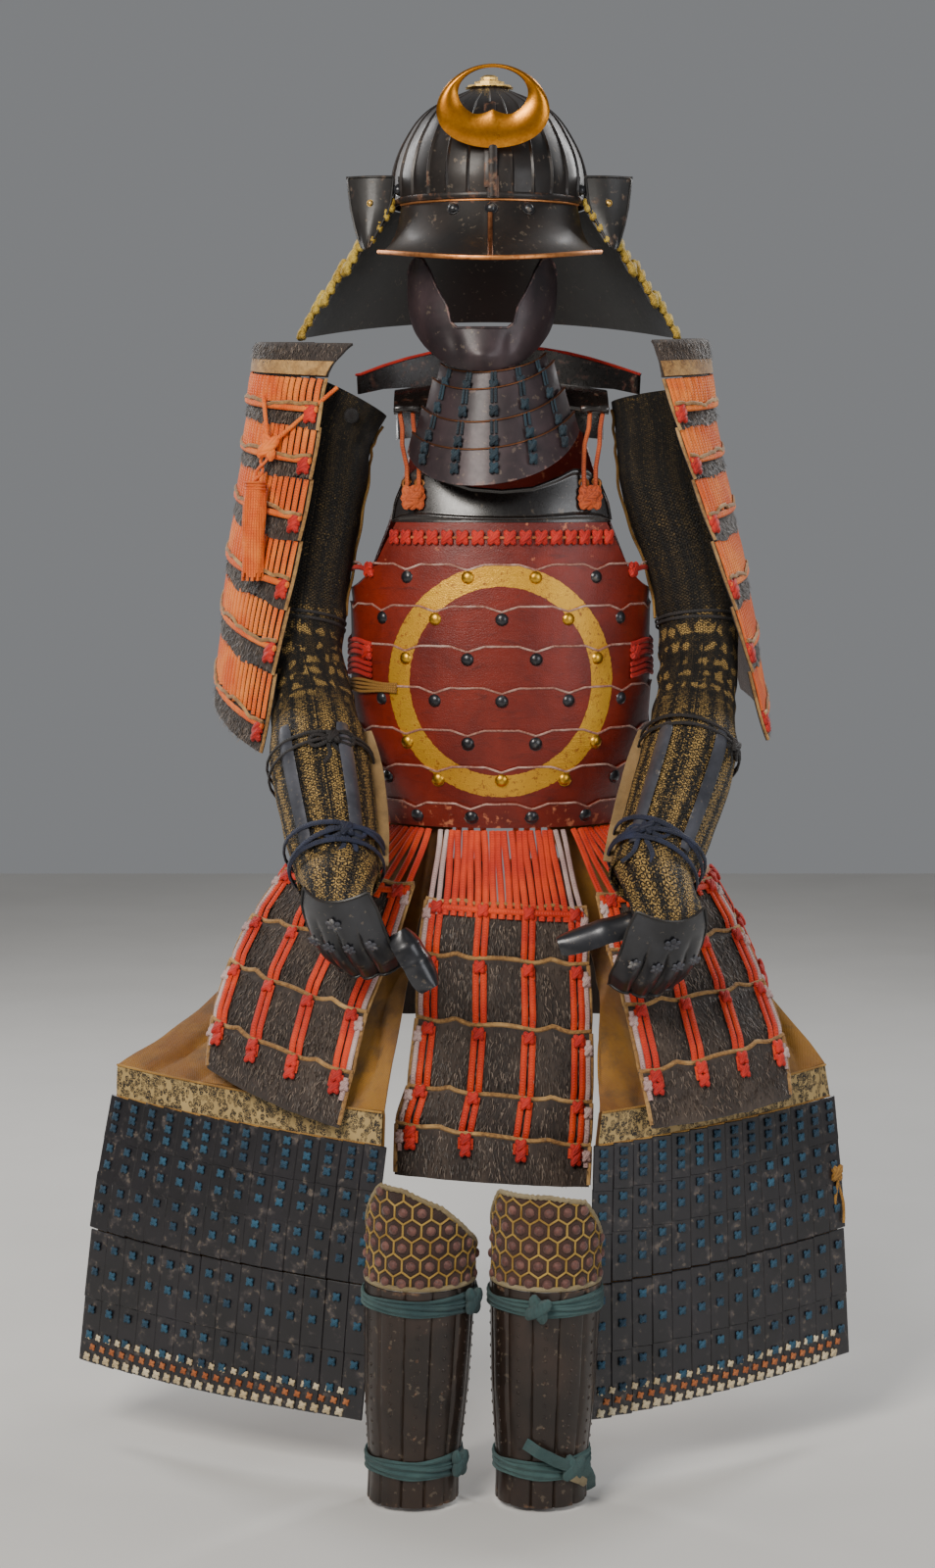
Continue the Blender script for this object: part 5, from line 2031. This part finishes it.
gold_cord = silk("gold_cord_silk", "a8812f", "d0ad5a", "5b4314", stitches=600.0)
dome = domed_rivet(5.2, 3.4, 0.02)
for side in ("right", "left"):
    middle = (SHIN[side][1][0], SHIN[side][1][1], 280)

    def pad(a, b, side=side):
        degrees = lerp(-100, 100, a)
        top = read_straight(KNEE_TOP[side], 1, degrees)
        z = lerp(KNEE_LOW, top, b)
        far, _, _ = hex_centre(degrees * ARC, z - KNEE_LOW - 8)
        puff = 2.6 * max(0.0, 1 - (far / 10.4) ** 2)
        edge = min(1, b * 8, (1 - b) * 8)
        return shin_at(side, degrees, z, puff * edge)

    cushion = own(formed("pad", 110, 44, pad, (0.2, 0.09), middle, 2.4), f"quilted_knee_{side}", "quilted_pad", quilt_cloth)
    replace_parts(cushion, f"knee_pad_{side}")
    lines, domes = gold_cord_lines(side)
    own(braids("lines", lines, 2.4, 2.0, 5), f"quilting_cord_{side}", "ochre_cloth", gold_cord)
    own(spread(dome, [(shin_at(side, d, z, 1.6), shin_out(side, d, z), (0, 0, 1), 1) for d, z in domes]), f"quilt_domes_{side}", "quilted_pad", dome_leather)
    rim = [shin_at(side, d, read_straight(KNEE_TOP[side], 1, d) - 1.5 + 0.8 * math.sin(d), 0.4) for d in steps(70, -99, 99)]
    foot = [shin_at(side, d, KNEE_LOW + 2.6, 1.2) for d in steps(40, -99, 99)]
    own(braids("binding", [(rim, [shin_out(side, d, 280) for d in steps(70, -99, 99)]), (foot, [shin_out(side, d, 240) for d in steps(40, -99, 99)])], 5.5, 5, 8),
        f"pad_binding_{side}", "ochre_cloth", cream_cloth)
    print("knee pad", side, len(domes), "domes")
shed(dome)

# %% [markdown]
# The ties are strips of teal cloth, wound one and a half times and knotted. Each wrap is its own thin
# sheet with lengthwise creases, and the lower left one has a loose knot with its ends free.

# %% Shin ties
for side in ("right", "left"):
    for level, z0, low, high in (("upper", 215, 206, 224), ("lower", 45, 34, 56)):
        wraps = []
        for k, (tilt, off, grow) in enumerate(((2.2, 2.5, 4.4), (-2.4, -2.8, 5.6))):
            def wrap(a, b, side=side, z0=z0, tilt=tilt, off=off, grow=grow, tall=(high - low) * 0.74, k=k):
                degrees = lerp(-112, 112, a)
                pinch = 1 - 0.22 * math.sin(a * 9 + k * 2) ** 2
                z = z0 + off + tilt * math.sin(math.radians(degrees)) + (b - 0.5) * tall * pinch
                fold = 0.9 * math.sin(b * 14 + a * 5 + k) + 1.0 * noise.noise(Vector((a * 9, b * 5, k)))
                return shin_at(side, degrees, z, grow + fold)

            wraps.append(formed("wrap", 60, 12, wrap, (0.24, 0.016), (SHIN[side][0][0], SHIN[side][0][1], z0), 1.2))
        tie = own(join(wraps), f"shin_wrap_{level}_{side}", "teal_cloth", teal_cloth)
        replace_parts(tie, f"shin_tie_{level}_{side}")
        at = {"right": 60, "left": -8 if level == "upper" else 35}[side]
        lump = cross_knot(22, 18, 9, cuts=2)
        heart = shin_at(side, at, z0 + 1, 9)
        out = shin_out(side, at, z0)
        own(spread(lump, [(heart, out, (0.3, 0, 1), 1)]), f"tie_knot_{level}_{side}", "teal_cloth", teal_cloth)
        shed(lump)

# %% Loose ends
strips = {"teal": [], "cream": []}
for colour, stops in (("teal", ((32, 47, 12), (52, 40, 14), (66, 27, 11), (76, 14, 8))), ("teal", ((30, 50, 12), (12, 58, 14), (-6, 68, 12), (-20, 74, 8))),
                      ("cream", ((26, 42, 13), (40, 34, 14), (52, 28, 11), (60, 24, 8)))):
    path = [shin_at("left", *spot[:2], spot[2]) for spot in stops]
    path = [path[int(t)].lerp(path[min(3, int(t) + 1)], t - int(t)) + Vector((0, -1.2 * math.sin(4 * t), 0)) for t in steps(15, 0, 3)]
    strips[colour].append((path, [shin_out("left", 30, 40)] * len(path)))
own(braids("ends", strips["teal"], 12, 1.8, 8), "tie_ends_left", "teal_cloth", teal_cloth)
own(braids("ends", strips["cream"], 9, 1.8, 8), "tie_strip_left", "ochre_cloth", cream_cloth)
thigh = hung(THIGH["left"], THIGH_BOW)
hanging = []
for k in (-1, 1):
    path = [thigh(0.985, v) + Vector((3 + k * (2 + 3 * math.sin(v * 9)), -7 - 2 * math.sin(7 * v + k), 0)) for v in steps(14, 4.72, 5.14)]
    hanging.append((path, (0.4, -1, 0)))
knot = cross_knot(12, 12, 6)
tie = join([braids("tie", hanging, 3.4, 2.6), spread(knot, [(thigh(0.985, 4.72) + Vector((3, -8, 0)), (0.3, -1, 0), (0, 0, 1), 1)])])
shed(knot)
own(tie, "thigh_tie_left", "ochre_cloth", ochre_silk)
print("loose ends: 3 strips and 1 small tie")
